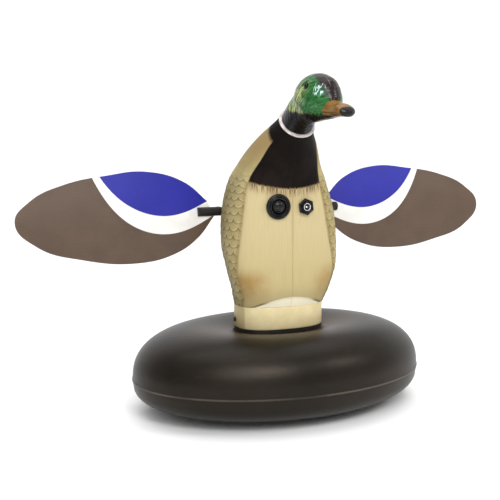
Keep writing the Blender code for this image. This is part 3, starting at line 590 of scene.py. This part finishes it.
# painted shadow: a dark band cast just below the tip of the feather above
tip_shadow = (upper * (-FEATHER_LENGTH - FEATHER_DROP)).rise(0.0024, 0.0002) * (1 - covered)
barbs = duck_paint.streaks(pattern, (900.0, 160.0, 1.0), 2.0, 0.5)
feathers = duck_paint.layers(tan, [
    (feather_root_shade * 0.9, srgb(88, 74, 44)),
    (tip_shadow * cloud.rise(0.1, 0.8) * 0.55, srgb(86, 72, 42)),
    (feather_rim * 0.35, srgb(214, 204, 162)),
    (barbs.rise(0.5, 0.75) * 0.35, srgb(140, 126, 86))])
shoulder = duck_paint.mix(z.rise(0.236, 0.262), tan, srgb(150, 128, 88))
shoulder = duck_paint.mix(barbs.rise(0.55, 0.8) * 0.25, shoulder, srgb(128, 110, 72))
feathered = (z + (cloud - 0.5) * 0.008).rise(0.237, 0.226)
flank = duck_paint.mix(feathered, shoulder, feathers)
side_shadow = y.rise(-0.018, 0.012) * z.rise(0.240, 0.215)
flank = duck_paint.mix(side_shadow * 0.55, flank, srgb(88, 76, 46))

# the neck is black all the way round, above a soft slanting edge
up_the_neck = z * 0.669 - y * 0.743
neck = (up_the_neck + (cloud - 0.5) * 0.003).rise(0.2010, 0.2055)
# painted shade: a soft brown band along the crease, on the flank side
crease_shade = (crease - 0.0008).size().rise(0.0032, 0.0004) * z.rise(0.232, 0.222)
coat = duck_paint.layers(breast, [
    (crease.rise(-0.0005, 0.0005), flank),
    (crease_shade * 0.45, srgb(120, 100, 60)),
    (neck, black)])
duck_paint.set("Base Color", coat)
duck_paint.set("Roughness", 0.46 + streaks * 0.16)
comb = streaks * 0.35 + wide_streaks * 0.35 + grain * 0.12
duck_paint.raise_by(comb + crease.rise(-0.001, 0.001) * (barbs - 0.5) * 0.7, 0.00028)

switch_centre = Vector((-0.0152, -0.0328, 0.2036))
switch_out = Vector((-sin(radians(5)), -cos(radians(5)), 0.0))
jack_centre = Vector((0.0134, -0.0332, 0.2024))
jack_out = Vector((sin(radians(3)), -cos(radians(3)), 0.0))
axle_low, axle_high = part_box("drive_shaft")
axle = Vector((0.0, (axle_low.y + axle_high.y) / 2, (axle_low.z + axle_high.z) / 2))

for name, side in (("right", -1), ("left", 1)):
    shell = finish_piece(body_half(side), f"duck_shell_{name}", duck_paint,
                         replaces=(f"body_{name}",), flat_above=60)
    wall = shell.modifiers.new("wall", "SOLIDIFY")
    wall.thickness = SHELL_WALL
    wall.offset = -1.0
    drill(shell, axle + Vector((side * 0.050, 0, 0)), (1, 0, 0), 0.0047)
    if side < 0:
        drill(shell, switch_centre, switch_out, 0.0096)
    else:
        drill(shell, jack_centre, jack_out, 0.0056)

# The foot collar: a smooth cream band round the bottom of the body, moulded with a rounded lip at top
# and bottom. A screw on each side pins the body's skirt to the pedestal through it.
collar_low, collar_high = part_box("foot_collar")
collar_high.z += 0.00022  # it closes up to the shells' lower edge
collar_wall = 0.0022


def foot_ring(bm, count, inset, z):
    """A closed ring of edges on the collar's plan, made from a circle."""
    ring = bmesh.ops.create_circle(bm, segments=count, radius=1.0)["verts"]
    _, middle, _, half_width, breast, behind, square_front, square_back = FOOT
    for vert in ring:
        c, s = vert.co.x, vert.co.y
        square = square_front if s < 0 else square_back
        depth = (breast if s < 0 else behind) - inset
        vert.co = (copysign(abs(c) ** (2 / square), c) * (half_width - inset),
                   middle + copysign(abs(s) ** (2 / square), s) * depth, z)
    return [edge for edge in bm.edges if edge.verts[0] in ring and edge.verts[1] in ring]


def foot_band(profile, count=200):
    """A band whose wall follows the foot's plan: the profile is a closed loop of (inset, z)."""
    bm = bmesh.new()
    rings = [foot_ring(bm, count, inset, z) for inset, z in profile]
    for ring, after in zip(rings, rings[1:] + rings[:1]):
        bmesh.ops.bridge_loops(bm, edges=ring + after)
    bmesh.ops.recalc_face_normals(bm, faces=bm.faces)
    put_inside_out_right(bm)
    return bm


collar_paint = Finish("cream_band", roughness=0.48, Specular_IOR_Level=0.4)
place = collar_paint.object_place()
x, y, z = collar_paint.parts_of(place)
cloud = collar_paint.speckle(place, 60.0, 4.0, 0.6)
grain = collar_paint.speckle(place, 700.0, 2.0, 0.5)
# painted shade: the band's two sides, which turn away from the light, are painted a darker tan; the band
# also darkens towards its lower edge
side_facet_shade = x.rise(-0.0412, -0.0428) + x.rise(0.0412, 0.0428)
band = collar_paint.layers(srgb(222, 206, 162), [
    (cloud.rise(0.3, 0.7), srgb(212, 195, 147)),
    (side_facet_shade * 0.6, srgb(150, 134, 84)),
    (z.rise(collar_low.z + 0.0022, collar_low.z) * 0.4, srgb(150, 128, 84))])
collar_paint.cover(band, 0.42 + grain * 0.14, cloud * 0.6 + grain * 0.4, 0.00016)
lip = 0.0006
bm = foot_band([
    (lip, collar_low.z), (lip * 0.3, collar_low.z + lip * 0.3), (0.0, collar_low.z + lip),
    (0.0, collar_high.z - lip), (lip * 0.3, collar_high.z - lip * 0.3), (lip, collar_high.z),
    (collar_wall, collar_high.z), (collar_wall, collar_low.z)])
collar = finish_piece(bm, "foot_band", collar_paint, replaces=("foot_collar",))
for side in (-1, 1):
    drill(collar, Vector((side * 0.0430, 0.0040, 0.0898)), (1, 0, 0), 0.0018, 0.014)

# The white neck ring: a plain moulded torus that the head plugs into, leaning forward with the neck.
neck_centre = Vector((0.0, -0.0418, 0.2820))
neck_lean = radians(48)
neck_place = Matrix.Translation(neck_centre) @ Matrix.Rotation(neck_lean, 4, "X")
neck_axis = neck_place.to_3x3() @ Vector((0, 0, 1))
ring_paint = Finish("white_ring_paint", roughness=0.4, Specular_IOR_Level=0.45)
place = ring_paint.object_place()
chips = ring_paint.speckle(place, 220.0, 4.0, 0.65)
ring_white = ring_paint.mix(chips.rise(0.35, 0.65), srgb(222, 214, 212), srgb(184, 174, 170))
ring_paint.cover(ring_paint.mix(chips.rise(0.66, 0.74) * 0.6, ring_white, srgb(120, 108, 104)),
                 0.34 + chips * 0.2, chips, 0.00015)
rim = [(0.0162 + 0.0016 * cos(pi * i / 10 - pi / 2), 0.0002 + 0.0011 * sin(pi * i / 10 - pi / 2))
       for i in range(11)]
socket_wall = [(0.0132, 0.0013), (0.0132, -0.0060), (0.0146, -0.0060), (0.0146, -0.0009)]
bm = turned(rim + socket_wall, 96, neck_place)
finish_piece(bm, "neck_ring_white", ring_paint, replaces=("neck_ring",))

# The head: a hollow moulded mallard's head in glossy paint, turned a little to the duck's left. It is
# modelled from a fine ball, pulled out to the skull, cheeks, nape and neck, and cut off at the ring.
head_centre = Vector((0.004, -0.079, 0.3067))
head_yaw = radians(9)
head_place = Matrix.Translation(head_centre) @ Matrix.Rotation(head_yaw, 4, "Z")


def lump(points, centre, radii):
    """Rough distance from an ellipsoid in the head's own frame, negative inside it."""
    scaled = (points - np.array(centre)) / np.array(radii)
    return (np.linalg.norm(scaled, axis=1) - 1) * min(radii)


def post(points, start, end, radius_start, radius_end):
    """Rough distance from a tapered round bar."""
    a, b = np.array(start), np.array(end)
    share = np.clip(((points - a) @ (b - a)) / ((b - a) @ (b - a)), 0, 1)
    radius = radius_start + (radius_end - radius_start) * share
    return np.linalg.norm(points - a - share[:, None] * (b - a), axis=1) - radius


def blend_of(a, b, soft):
    """Join two forms with a soft fillet."""
    h = np.clip(0.5 + 0.5 * (b - a) / soft, 0, 1)
    return b * (1 - h) + a * h - soft * h * (1 - h)


to_head = head_place.inverted()
neck_start = to_head @ (neck_centre - neck_axis * 0.012)
neck_end = to_head @ (neck_centre + neck_axis * 0.016)


def head_form(points):
    """The whole head as one soft form; its surface is where this is zero."""
    form = lump(points, (0.0004, -0.0012, 0.0), (0.0174, 0.0228, 0.0197))
    for side in (-1, 1):
        cheek = lump(points, (side * 0.0045, -0.0040, -0.0065), (0.0130, 0.0150, 0.0110))
        form = blend_of(form, cheek, 0.006)
    form = blend_of(form, lump(points, (0, 0.0098, -0.0045), (0.0150, 0.0172, 0.0180)), 0.010)
    form = blend_of(form, lump(points, (0, -0.0130, -0.0075), (0.0108, 0.0125, 0.0125)), 0.006)
    return blend_of(form, post(points, neck_start, neck_end, 0.0157, 0.0150), 0.007)


bm = bmesh.new()
bmesh.ops.create_icosphere(bm, subdivisions=7, radius=1.0)
rays = np.array([vert.co[:] for vert in bm.verts])
near, far = np.zeros(len(rays)), np.full(len(rays), 0.075)
for _ in range(26):  # halve the distance along each ray until it meets the form
    middle = (near + far) / 2
    inside_form = head_form(rays * middle[:, None]) < 0
    near, far = np.where(inside_form, middle, near), np.where(inside_form, far, middle)
surface = rays * near[:, None]
throat_spot = np.array((0.0, -0.0130, -0.0190))
eye_spot = np.array((0.0155, -0.0022, 0.0082))
away = surface - throat_spot
comb_turn = np.arctan2(away[:, 2], away[:, 1])
comb_run = np.linalg.norm(away, axis=1)
carve = np.zeros(len(surface))
for i, (turn, run, point) in enumerate(zip(comb_turn, comb_run, surface)):
    ripple = noise.noise(Vector((turn * 3.5, run * 620, point[0] * 90)))
    carve[i] = 0.00028 * ripple * min(1.0, max(0.0, (run - 0.010) / 0.008))
one_side = np.column_stack([np.abs(surface[:, 0]), surface[:, 1], surface[:, 2]])
eye_gap = np.linalg.norm(one_side - eye_spot, axis=1)
carve -= 0.0011 * np.exp(-(eye_gap / 0.0030) ** 2)
carve += 0.0005 * np.exp(-((eye_gap - 0.0052) / 0.0016) ** 2)
for vert, point in zip(bm.verts, surface):
    vert.co = point
bm.normal_update()
outwards = [vert.normal.copy() for vert in bm.verts]
for vert, normal, amount in zip(bm.verts, outwards, carve):
    vert.co += normal * amount
combed = bm.loops.layers.uv.new("combed")
for face in bm.faces:
    turns = [comb_turn[loop.vert.index] for loop in face.loops]
    wrapped = max(turns) - min(turns) > pi
    for loop, turn in zip(face.loops, turns):
        loop[combed].uv = (turn + (2 * pi if wrapped and turn < 0 else 0), comb_run[loop.vert.index])
bmesh.ops.transform(bm, matrix=head_place, verts=bm.verts)
cut_point = neck_centre + neck_axis * 0.0018
bmesh.ops.bisect_plane(bm, geom=bm.verts[:] + bm.edges[:] + bm.faces[:], dist=0.00001, plane_co=cut_point,
                       plane_no=-neck_axis, clear_outer=True)
bmesh.ops.holes_fill(bm, edges=[edge for edge in bm.edges if edge.is_boundary], sides=0)

head_paint = Finish("glossy_head_paint", roughness=0.22, Specular_IOR_Level=0.20, Coat_Roughness=0.12)
local = head_paint.turned_place(head_centre, (0.0, 0.0, head_yaw))
side, behind, up = head_paint.parts_of(local)
ahead = 0.0 - behind
combed_map = head_paint.node("ShaderNodeUVMap", {"uv_map": "combed"}, {})
strokes = head_paint.streaks(combed_map, (3.0, 300.0, 1.0), 3.0, 0.55)
fine_strokes = head_paint.streaks(combed_map, (2.6, 600.0, 1.0), 3.0, 0.6)
brushed = head_paint.streaks(local, (640.0, 90.0, 90.0), 3.0, 0.6)
nape = (ahead - up * 0.35).rise(0.009, -0.006) * up.rise(0.016, 0.002)
olive = head_paint.mix(fine_strokes.rise(0.45, 0.62), srgb(60, 92, 40), srgb(190, 198, 122))
green = head_paint.layers(srgb(14, 60, 30), [
    (fine_strokes.rise(0.25, 0.72), srgb(50, 114, 56)),
    (strokes.rise(0.58, 0.70) * 0.35, srgb(120, 176, 92)),
    (nape * 0.9, olive)])
dashes = head_paint.streaks(local, (500.0, 1000.0, 130.0), 2.0, 0.5)
crown_edge = up * 0.62 + ahead * 0.55 - side.size() * 0.80 + (fine_strokes - 0.5) * 0.008
crown = crown_edge.rise(0.0050, 0.0085)
brown = head_paint.mix(brushed.rise(0.50, 0.70), srgb(30, 25, 24), srgb(92, 82, 76))
throat_edge = up + ahead * 0.10 + 0.0150 + (fine_strokes - 0.5) * 0.0110
throat = throat_edge.rise(0.0015, -0.0015)
# painted highlight: white-blue strokes that stand for lamp reflections on the combed paint
glint_gap = head_paint.gap(local, (-0.0110, -0.0160, 0.0052))
glints = glint_gap.rise(0.0076, 0.0040) * dashes.rise(0.54, 0.60)
slit_gap = head_paint.gap(head_paint.stretch(local, (1.0, 1.0, 0.75)), (-0.0158, -0.0022, 0.0066))
coat = head_paint.layers(green, [
    (crown, brown),
    (throat, srgb(12, 10, 9)),
    (glints * 0.95, srgb(214, 236, 240)),
    (slit_gap.rise(0.0032, 0.0022) * 0.8, srgb(18, 30, 18))])
head_paint.set("Base Color", coat)
head_paint.set("Roughness", 0.20 + fine_strokes * 0.16)
head_paint.set("Coat Weight", 0.06 + 0.10 * strokes)
head_paint.raise_by(strokes * 0.5 + fine_strokes * 0.5, 0.00030)
finish_piece(bm, "duck_head", head_paint, body="head", replaces=("head",))

# The bill: moulded with the head and painted orange-brown, with a black nail at its tip and a dark
# line where the upper and lower halves meet.
# Distance ahead of the head's middle, height from it, half width, half depth.
BILL_SECTIONS = [
    (0.0080, -0.0095, 0.0112, 0.0104), (0.0165, -0.0106, 0.0108, 0.0101), (0.0235, -0.0112, 0.0092, 0.0083),
    (0.0300, -0.0121, 0.0091, 0.0066), (0.0380, -0.0127, 0.0096, 0.0055), (0.0430, -0.0140, 0.0086, 0.0045),
    (0.0456, -0.0149, 0.0060, 0.0034), (0.0472, -0.0154, 0.0024, 0.0018),
]
bill_around, bill_along = 96, 90
bm = bmesh.new()
bmesh.ops.create_cone(bm, cap_ends=True, cap_tris=False, segments=bill_around, radius1=1, radius2=1,
                      depth=1)
uprights = [edge for edge in bm.edges if abs(edge.verts[0].co.z - edge.verts[1].co.z) > 0.5]
bmesh.ops.subdivide_edges(bm, edges=uprights, cuts=bill_along - 1, use_grid_fill=False)
for vert in bm.verts:
    run = vert.co.z + 0.5
    turn = atan2(vert.co.y, vert.co.x)
    ahead_by, rise_by, half_width, half_depth = section_at(BILL_SECTIONS, run * (len(BILL_SECTIONS) - 1))
    c, s = cos(turn), sin(turn)
    across = copysign(abs(c) ** 0.82, c) * half_width
    lift = copysign(abs(s) ** 0.9, s) * half_depth
    mouth = exp(-((s + 0.42) / 0.13) ** 2)
    across *= 1 - 0.10 * mouth * (1 - 0.5 * run)
    if s < -0.42:
        across *= 0.93
    nostril = exp(-((run - 0.50) / 0.035) ** 2 - ((abs(turn - pi / 2) - 0.62) / 0.14) ** 2)
    nail = exp(-((run - 0.95) / 0.06) ** 2) * max(0.0, s) ** 2 * exp(-(c / 0.5) ** 2)
    lift += 0.0005 * nail - 0.0008 * nostril
    vert.co = (across, -ahead_by, rise_by + lift)
put_inside_out_right(bm)
bmesh.ops.transform(bm, matrix=head_place, verts=bm.verts)

bill_paint = Finish("bill_paint", roughness=0.3, Specular_IOR_Level=0.25, Coat_Roughness=0.15)
local = bill_paint.turned_place(head_centre, (0.0, 0.0, head_yaw))
side, behind, up = bill_paint.parts_of(local)
ahead = 0.0 - behind
cloud = bill_paint.speckle(local, 120.0, 4.0, 0.6)
streak = bill_paint.streaks(local, (260.0, 60.0, 260.0), 3.0, 0.55)
middle_line = up + ahead * 0.130 + 0.0098
underside = middle_line.rise(-0.0038, -0.0048)
tip = (ahead - 0.0432 + (cloud - 0.5) * 0.003).rise(-0.0006, 0.0006)
jaw = (middle_line.rise(-0.0018, -0.0026) * ahead.rise(0.024, 0.036)).most(underside)
root_shade = ahead.rise(0.0165, 0.0120) * up.rise(-0.008, -0.012)
orange = bill_paint.layers(srgb(108, 74, 27), [
    (cloud.rise(0.35, 0.68), srgb(144, 104, 42)),
    (streak.rise(0.58, 0.75) * 0.4, srgb(128, 76, 34)),
    ((middle_line + 0.0017).size().rise(0.0010, 0.0003) * 0.7, srgb(84, 46, 22)),
    (root_shade * 0.5, srgb(70, 52, 30))])
bill_paint.set("Base Color", bill_paint.mix(jaw.most(tip), orange, srgb(14, 12, 14)))
bill_paint.set("Roughness", 0.24 + cloud * 0.14)
bill_paint.set("Coat Weight", 0.05 + cloud * 0.1)
bill_paint.raise_by(streak * 0.6 + cloud * 0.4, 0.00025)
finish_piece(bm, "duck_bill", bill_paint, body="head", flat_above=60)

# The eyes: small glossy black beads pressed into sockets in the head, with a moulded lid round each.
eye_paint = Finish("eye_bead", srgb(10, 9, 8), 0.08, Specular_IOR_Level=0.25)
swirl = eye_paint.speckle(eye_paint.object_place(), 600.0, 2.0, 0.5)
eye_paint.set("Base Color", eye_paint.mix(swirl, srgb(8, 7, 6), srgb(26, 18, 12)))
for name, sign in (("right", -1), ("left", 1)):
    low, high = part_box(f"eye_{name}")
    bm = bmesh.new()
    shape = Matrix.Translation((low + high) / 2) @ Matrix.Rotation(head_yaw, 4, "Z")
    shape = shape @ Matrix.Translation((0, 0.0020, 0.0012))
    shape = shape @ Matrix.Diagonal((0.0022, 0.0019, 0.0028, 1))
    bmesh.ops.create_uvsphere(bm, u_segments=32, v_segments=20, radius=1.0, matrix=shape)
    finish_piece(bm, f"eye_bead_{name}", eye_paint, body="head", replaces=(f"eye_{name}",))

# The wings: flat printed plastic plates, one screwed to each hub. The print is a blue panel with a
# white bar under it on taupe brown, and the sheet shows faint flutes along the span.
WING_OUTLINE = [
    (0.0654, 0.0104, True), (0.0880, 0.0300, False), (0.1250, 0.0410, False), (0.1650, 0.0382, False),
    (0.2060, 0.0305, False), (0.2380, 0.0159, False), (0.2522, -0.0030, False), (0.2345, -0.0254, False),
    (0.1930, -0.0402, False), (0.1390, -0.0465, False), (0.1020, -0.0395, False), (0.0780, -0.0255, False),
    (0.0594, -0.0046, True),
]
wing_lean = radians(79.2)
wing_place = Matrix.Translation(axle) @ Matrix.Rotation(wing_lean, 4, "X")
wing_thickness = 0.0016
wing_holes, wing_hole_radius = (0.0650, 0.0725), 0.0015

wing_print = Finish("printed_wing_sheet", roughness=0.5, Specular_IOR_Level=0.35)
sheet_map = wing_print.node("ShaderNodeUVMap", {"uv_map": "sheet"}, {})
out, chord, _ = wing_print.parts_of(sheet_map)
front = wing_print.node("ShaderNodeAttribute", {"attribute_name": "printed"}, {}, "Fac")
reach = (out - 0.110) / 0.050


def curve_of(value, terms):
    """A polynomial in the value, its highest power first."""
    total = terms[0]
    for term in terms[1:]:
        total = value * total + term
    return total


blue_edge = curve_of(reach, (0.00341, -0.0006, -0.00023, 0.02037, 0.00138, -0.00249))
white_edge = curve_of(reach, (0.00287, 0.0008, 0.00075, 0.01989, 0.0009, -0.02006))
flutes = chord.maths("FRACT", chord * 520.0)
flute_noise = wing_print.streaks(sheet_map, (9.0, 900.0, 1.0), 3.0, 0.55)
cloud = wing_print.speckle(sheet_map, 34.0, 4.0, 0.6)
taupe = wing_print.mix(cloud.rise(0.3, 0.7), srgb(81, 64, 52), srgb(89, 71, 57))
taupe = wing_print.mix(flute_noise.rise(0.52, 0.72) * 0.35, taupe, srgb(70, 56, 47))
blue = wing_print.mix(cloud.rise(0.3, 0.7), srgb(26, 28, 136), srgb(31, 32, 146))
white = wing_print.mix(cloud.rise(0.4, 0.7), srgb(228, 226, 222), srgb(219, 216, 211))
fuzz = (cloud - 0.5) * 0.0003
sheet = wing_print.mix((chord - white_edge + fuzz).rise(-0.00015, 0.00015), taupe, white)
sheet = wing_print.mix((chord - blue_edge + fuzz).rise(-0.00015, 0.00015), sheet, blue)
plain_back = wing_print.mix(flute_noise.rise(0.4, 0.7), srgb(205, 200, 192), srgb(190, 184, 176))
wing_print.cover(wing_print.mix(front, plain_back, sheet),
                 0.44 + cloud * 0.14, flute_noise * 0.7 + flutes * 0.3, 0.00012)


def wing_plate(sign):
    """The flat outline, thickened, with softened edges and its screw holes, in the wing's frame."""
    curve = bpy.data.curves.new("wing_outline", "CURVE")
    curve.dimensions = "2D"
    curve.fill_mode = "NONE"
    curve.resolution_u = 14
    spline = curve.splines.new("BEZIER")
    spline.bezier_points.add(len(WING_OUTLINE) - 1)
    spline.use_cyclic_u = True
    for point, (out_by, along, sharp) in zip(spline.bezier_points, WING_OUTLINE):
        point.co = (sign * out_by, along, 0.0)
        point.handle_left_type = point.handle_right_type = "VECTOR" if sharp else "AUTO"
    outline = bpy.data.objects.new("wing_outline", curve)
    scene.collection.objects.link(outline)
    bpy.context.view_layer.update()
    mesh = bpy.data.meshes.new_from_object(outline.evaluated_get(bpy.context.evaluated_depsgraph_get()))
    bpy.data.objects.remove(outline, do_unlink=True)
    bm = bmesh.new()
    bm.from_mesh(mesh)
    bmesh.ops.remove_doubles(bm, verts=bm.verts, dist=0.00001)
    for out_by in wing_holes:
        spot = Matrix.Translation((sign * out_by, 0, 0))
        bmesh.ops.create_circle(bm, segments=28, radius=wing_hole_radius, matrix=spot)
    filled = bmesh.ops.triangle_fill(bm, edges=bm.edges[:], use_beauty=True, normal=(0, 0, 1))
    lid = [item for item in filled["geom"] if isinstance(item, bmesh.types.BMFace)]
    for vert in bm.verts:
        vert.co.z = -GAP
    lifted = bmesh.ops.extrude_face_region(bm, geom=lid, use_keep_orig=True)
    moved = [item for item in lifted["geom"] if isinstance(item, bmesh.types.BMVert)]
    bmesh.ops.translate(bm, verts=moved, vec=(0, 0, -wing_thickness))
    bmesh.ops.recalc_face_normals(bm, faces=bm.faces)
    put_inside_out_right(bm)
    rims = [edge for edge in bm.edges if len(edge.link_faces) == 2 and edge.calc_face_angle() > radians(60)]
    bmesh.ops.bevel(bm, geom=rims, offset=0.0003, segments=2, profile=0.5, affect="EDGES", material=-1)
    return bm


for name, sign in (("right", -1), ("left", 1)):
    bm = wing_plate(sign)
    bm.normal_update()
    printed = bm.verts.layers.float.new("printed")
    sheet_uv = bm.loops.layers.uv.new("sheet")
    for vert in bm.verts:
        vert[printed] = 1.0 if vert.co.z > -GAP - 0.0010 else 0.0
    for face in bm.faces:
        for loop in face.loops:
            loop[sheet_uv].uv = (abs(loop.vert.co.x), loop.vert.co.y)
    bmesh.ops.transform(bm, matrix=wing_place, verts=bm.verts)
    finish_piece(bm, f"wing_sheet_{name}", wing_print, body="wing_rotor",
                 replaces=(f"wing_{name}",))

# The wing hubs: turned black plastic sleeves on the ends of the shaft. The outer half of each is cut
# down to a half-round saddle for the wing, and a grub screw grips the shaft.
hub_plastic = Finish("hub_plastic", roughness=0.38, Specular_IOR_Level=0.22)
hub_grain = hub_plastic.speckle(hub_plastic.object_place(), 500.0, 3.0, 0.6)
hub_plastic.cover(hub_plastic.mix(hub_grain, srgb(18, 17, 17), srgb(40, 38, 37)),
                  0.30 + hub_grain * 0.2, hub_grain, 0.0001)
hub_radius, hub_inner, hub_outer, hub_step, chamfer = 0.0045, 0.0522, 0.0766, 0.0585, 0.0005
for name, sign in (("right", -1), ("left", 1)):
    along_x = Matrix.Rotation(sign * pi / 2, 4, "Y")
    bm = turned([(0.0019, hub_inner), (hub_radius - chamfer, hub_inner), (hub_radius, hub_inner + chamfer),
                 (hub_radius, hub_outer - chamfer), (hub_radius - chamfer, hub_outer), (0.0, hub_outer),
                 (0.0, hub_step), (0.0019, hub_step)], 56, wing_place @ along_x)
    hub = finish_piece(bm, f"hub_sleeve_{name}", hub_plastic, body="wing_rotor",
                       replaces=(f"wing_hub_{name}",))
    slab = bmesh.new()
    slab_place = wing_place @ Matrix.Translation((sign * (hub_step + 0.015), 0, -0.005))
    bmesh.ops.create_cube(slab, size=1.0, matrix=slab_place @ Matrix.Diagonal((0.030, 0.012, 0.010, 1)))
    cut(hub, slab)
    grub_spot = wing_place @ Vector((sign * 0.0550, 0.0062, 0))
    drill(hub, grub_spot, wing_place.to_3x3() @ Vector((0, 1, 0)), 0.0014, 0.010)

# The push switch: a black bezel with a rolled rim and a ring groove, and a domed button that sinks
# two millimetres against its spring.
gloss_black = Finish("gloss_black_moulding", roughness=0.22, Specular_IOR_Level=0.30)
dust = gloss_black.speckle(gloss_black.object_place(), 420.0, 4.0, 0.65)
gloss_black.cover(gloss_black.mix(dust.rise(0.55, 0.8), srgb(9, 9, 10), srgb(34, 32, 30)),
                  0.16 + dust * 0.26, dust, 0.00008)
switch_place = Matrix.Translation(switch_centre) @ switch_out.to_track_quat("Z", "Y").to_matrix().to_4x4()
bm = turned([
    (0.0072, 0.0030), (0.0075, 0.0034), (0.0082, 0.0035), (0.0086, 0.0032), (0.0088, 0.0027),
    (0.0092, 0.0025), (0.0096, 0.0027), (0.0099, 0.0032), (0.0106, 0.0034), (0.0113, 0.0032),
    (0.0119, 0.0026), (0.0122, 0.0018), (0.0121, 0.0009), (0.0118, 0.0005), (0.0092, 0.0005),
    (0.0092, -0.0130), (0.0, -0.0130), (0.0, -0.0115), (0.0072, -0.0115)], 96, switch_place)
finish_piece(bm, "switch_bezel", gloss_black, replaces=("switch_housing",))
bm = turned([
    (0.0, 0.0050), (0.0012, 0.0050), (0.0024, 0.0048), (0.0036, 0.0044), (0.0046, 0.0038), (0.0050, 0.0034),
    (0.0053, 0.0035), (0.0057, 0.0035), (0.0062, 0.0030), (0.0066, 0.0022), (0.0067, 0.0014),
    (0.0067, -0.0020), (0.0030, -0.0020), (0.0030, -0.0070), (0.0, -0.0070)], 72, switch_place)
finish_piece(bm, "switch_button", gloss_black, body="button", replaces=("power_button",))

# The charging socket: a barrel jack with a black hexagonal nut on the outside, a bright sleeve inside
# and a pin in the middle.
jack_place = Matrix.Translation(jack_centre) @ jack_out.to_track_quat("Z", "Y").to_matrix().to_4x4()
nut_across, nut_low, nut_high = 0.0084, 0.0006, 0.0032
bm = bmesh.new()
bmesh.ops.create_cone(bm, cap_ends=True, segments=6, radius1=nut_across, radius2=nut_across,
                      depth=nut_high - nut_low, matrix=Matrix.Translation((0, 0, (nut_low + nut_high) / 2)))
bmesh.ops.bevel(bm, geom=bm.edges[:], offset=0.0005, segments=3, profile=0.5, affect="EDGES", material=-1)
bmesh.ops.transform(bm, matrix=jack_place @ Matrix.Rotation(radians(8), 4, "Z"), verts=bm.verts)
nut = finish_piece(bm, "jack_hex_nut", gloss_black, replaces=("jack_nut",))
drill(nut, jack_centre, jack_out, 0.0056)
bm = turned([
    (0.0041, 0.0037), (0.0044, 0.0040), (0.0050, 0.0040), (0.0053, 0.0037), (0.0053, -0.0130),
    (0.0, -0.0130), (0.0, -0.0113), (0.0041, -0.0113)], 64, jack_place)
finish_piece(bm, "jack_barrel", gloss_black, replaces=("jack_body",))

bright_metal = Finish("bright_plated_metal", roughness=0.18, Metallic=1.0)
tarnish = bright_metal.speckle(bright_metal.object_place(), 500.0, 3.0, 0.6)
plating = bright_metal.mix(tarnish.rise(0.4, 0.8), (0.80, 0.80, 0.79), (0.55, 0.54, 0.52))
bright_metal.set("Base Color", plating)
bright_metal.set("Roughness", 0.14 + tarnish * 0.18)
bm = turned([
    (0.0029, 0.0040), (0.0031, 0.0044), (0.0036, 0.0044), (0.00375, 0.0042), (0.00375, -0.0110),
    (0.0029, -0.0110)], 64, jack_place)
finish_piece(bm, "jack_bright_sleeve", bright_metal, replaces=("jack_sleeve",))
bm = turned([(0.0, 0.0032), (0.0005, 0.0031), (0.0009, 0.0028), (0.00105, 0.0023), (0.00105, -0.0110),
             (0.0, -0.0110)], 32, jack_place)
finish_piece(bm, "jack_centre_pin", bright_metal, replaces=("jack_pin",))


# The rest of the works keep their CAD shapes: the pedestal and the screws outside, and the motor, its
# chassis, the battery and the leads inside the shells. Each gets the finish of its own stuff.
def worked_finish(name, dark, light, roughness, grain, bump, metallic=0.0):
    """A finish of two tones in a fine grain."""
    finish = Finish(name, dark, roughness, Metallic=metallic)
    speck = finish.speckle(finish.object_place(), grain, 4.0, 0.6)
    finish.cover(finish.mix(speck.rise(0.3, 0.7), dark, light),
                 speck * 0.18 + (roughness - 0.09), speck, bump)
    return finish


CARRIED = [
    (worked_finish("black_plastic", srgb(14, 13, 13), srgb(32, 30, 29), 0.42, 420, 0.0001),
     ("pedestal", "battery_tray", "switch_nut", "motor_end_bell")),
    (worked_finish("zinc_plated_steel", (0.50, 0.50, 0.49), (0.66, 0.65, 0.62), 0.30, 900, 0.00005, 1.0),
     ("motor_can", "motor_strap", "drive_shaft", "head_clip", "strap_screw_front", "strap_screw_back",
      "chassis_screw_1", "chassis_screw_2", "pedestal_screw_1", "pedestal_screw_2", "pedestal_screw_3",
      "pedestal_screw_4", "wing_screw_right_1", "wing_screw_right_2", "wing_screw_left_1",
      "wing_screw_left_2")),
    (worked_finish("blackened_steel", (0.030, 0.029, 0.028), (0.075, 0.072, 0.070), 0.36, 700, 0.00006,
                   1.0),
     ("collar_screw_right", "collar_screw_left", "grub_screw_right", "grub_screw_left")),
    (worked_finish("grey_moulding", srgb(118, 121, 125), srgb(137, 140, 143), 0.52, 300, 0.0001),
     ("chassis",)),
    (worked_finish("cell_sleeve", srgb(58, 118, 158), srgb(84, 142, 180), 0.35, 200, 0.00005),
     ("battery_cell_1", "battery_cell_2")),
    (worked_finish("board_varnish", srgb(30, 104, 52), srgb(44, 124, 66), 0.35, 500, 0.00006),
     ("control_board",)),
    (worked_finish("red_insulation", srgb(176, 22, 20), srgb(196, 40, 34), 0.42, 600, 0.00004),
     ("motor_lead", "socket_lead", "battery_lead", "terminal_block")),
    (worked_finish("black_insulation", srgb(20, 20, 20), srgb(38, 37, 36), 0.42, 600, 0.00004),
     ("switch_lead",)),
    (worked_finish("copper", (0.60, 0.30, 0.17), (0.74, 0.42, 0.26), 0.32, 900, 0.00005, 1.0),
     ("armature", "commutator", "brush_upper", "brush_lower")),
    (worked_finish("turned_brass", (0.60, 0.45, 0.20), (0.74, 0.58, 0.30), 0.28, 900, 0.00004, 1.0),
     ("axle_bush_right", "axle_bush_left")),
    (worked_finish("ferrite", srgb(66, 66, 68), srgb(84, 84, 86), 0.7, 600, 0.0001),
     ("magnet_upper", "magnet_lower")),
]
for finish, names in CARRIED:
    for name in names:
        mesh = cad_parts[name].data
        mesh.materials.clear()
        mesh.materials.append(finish.material)
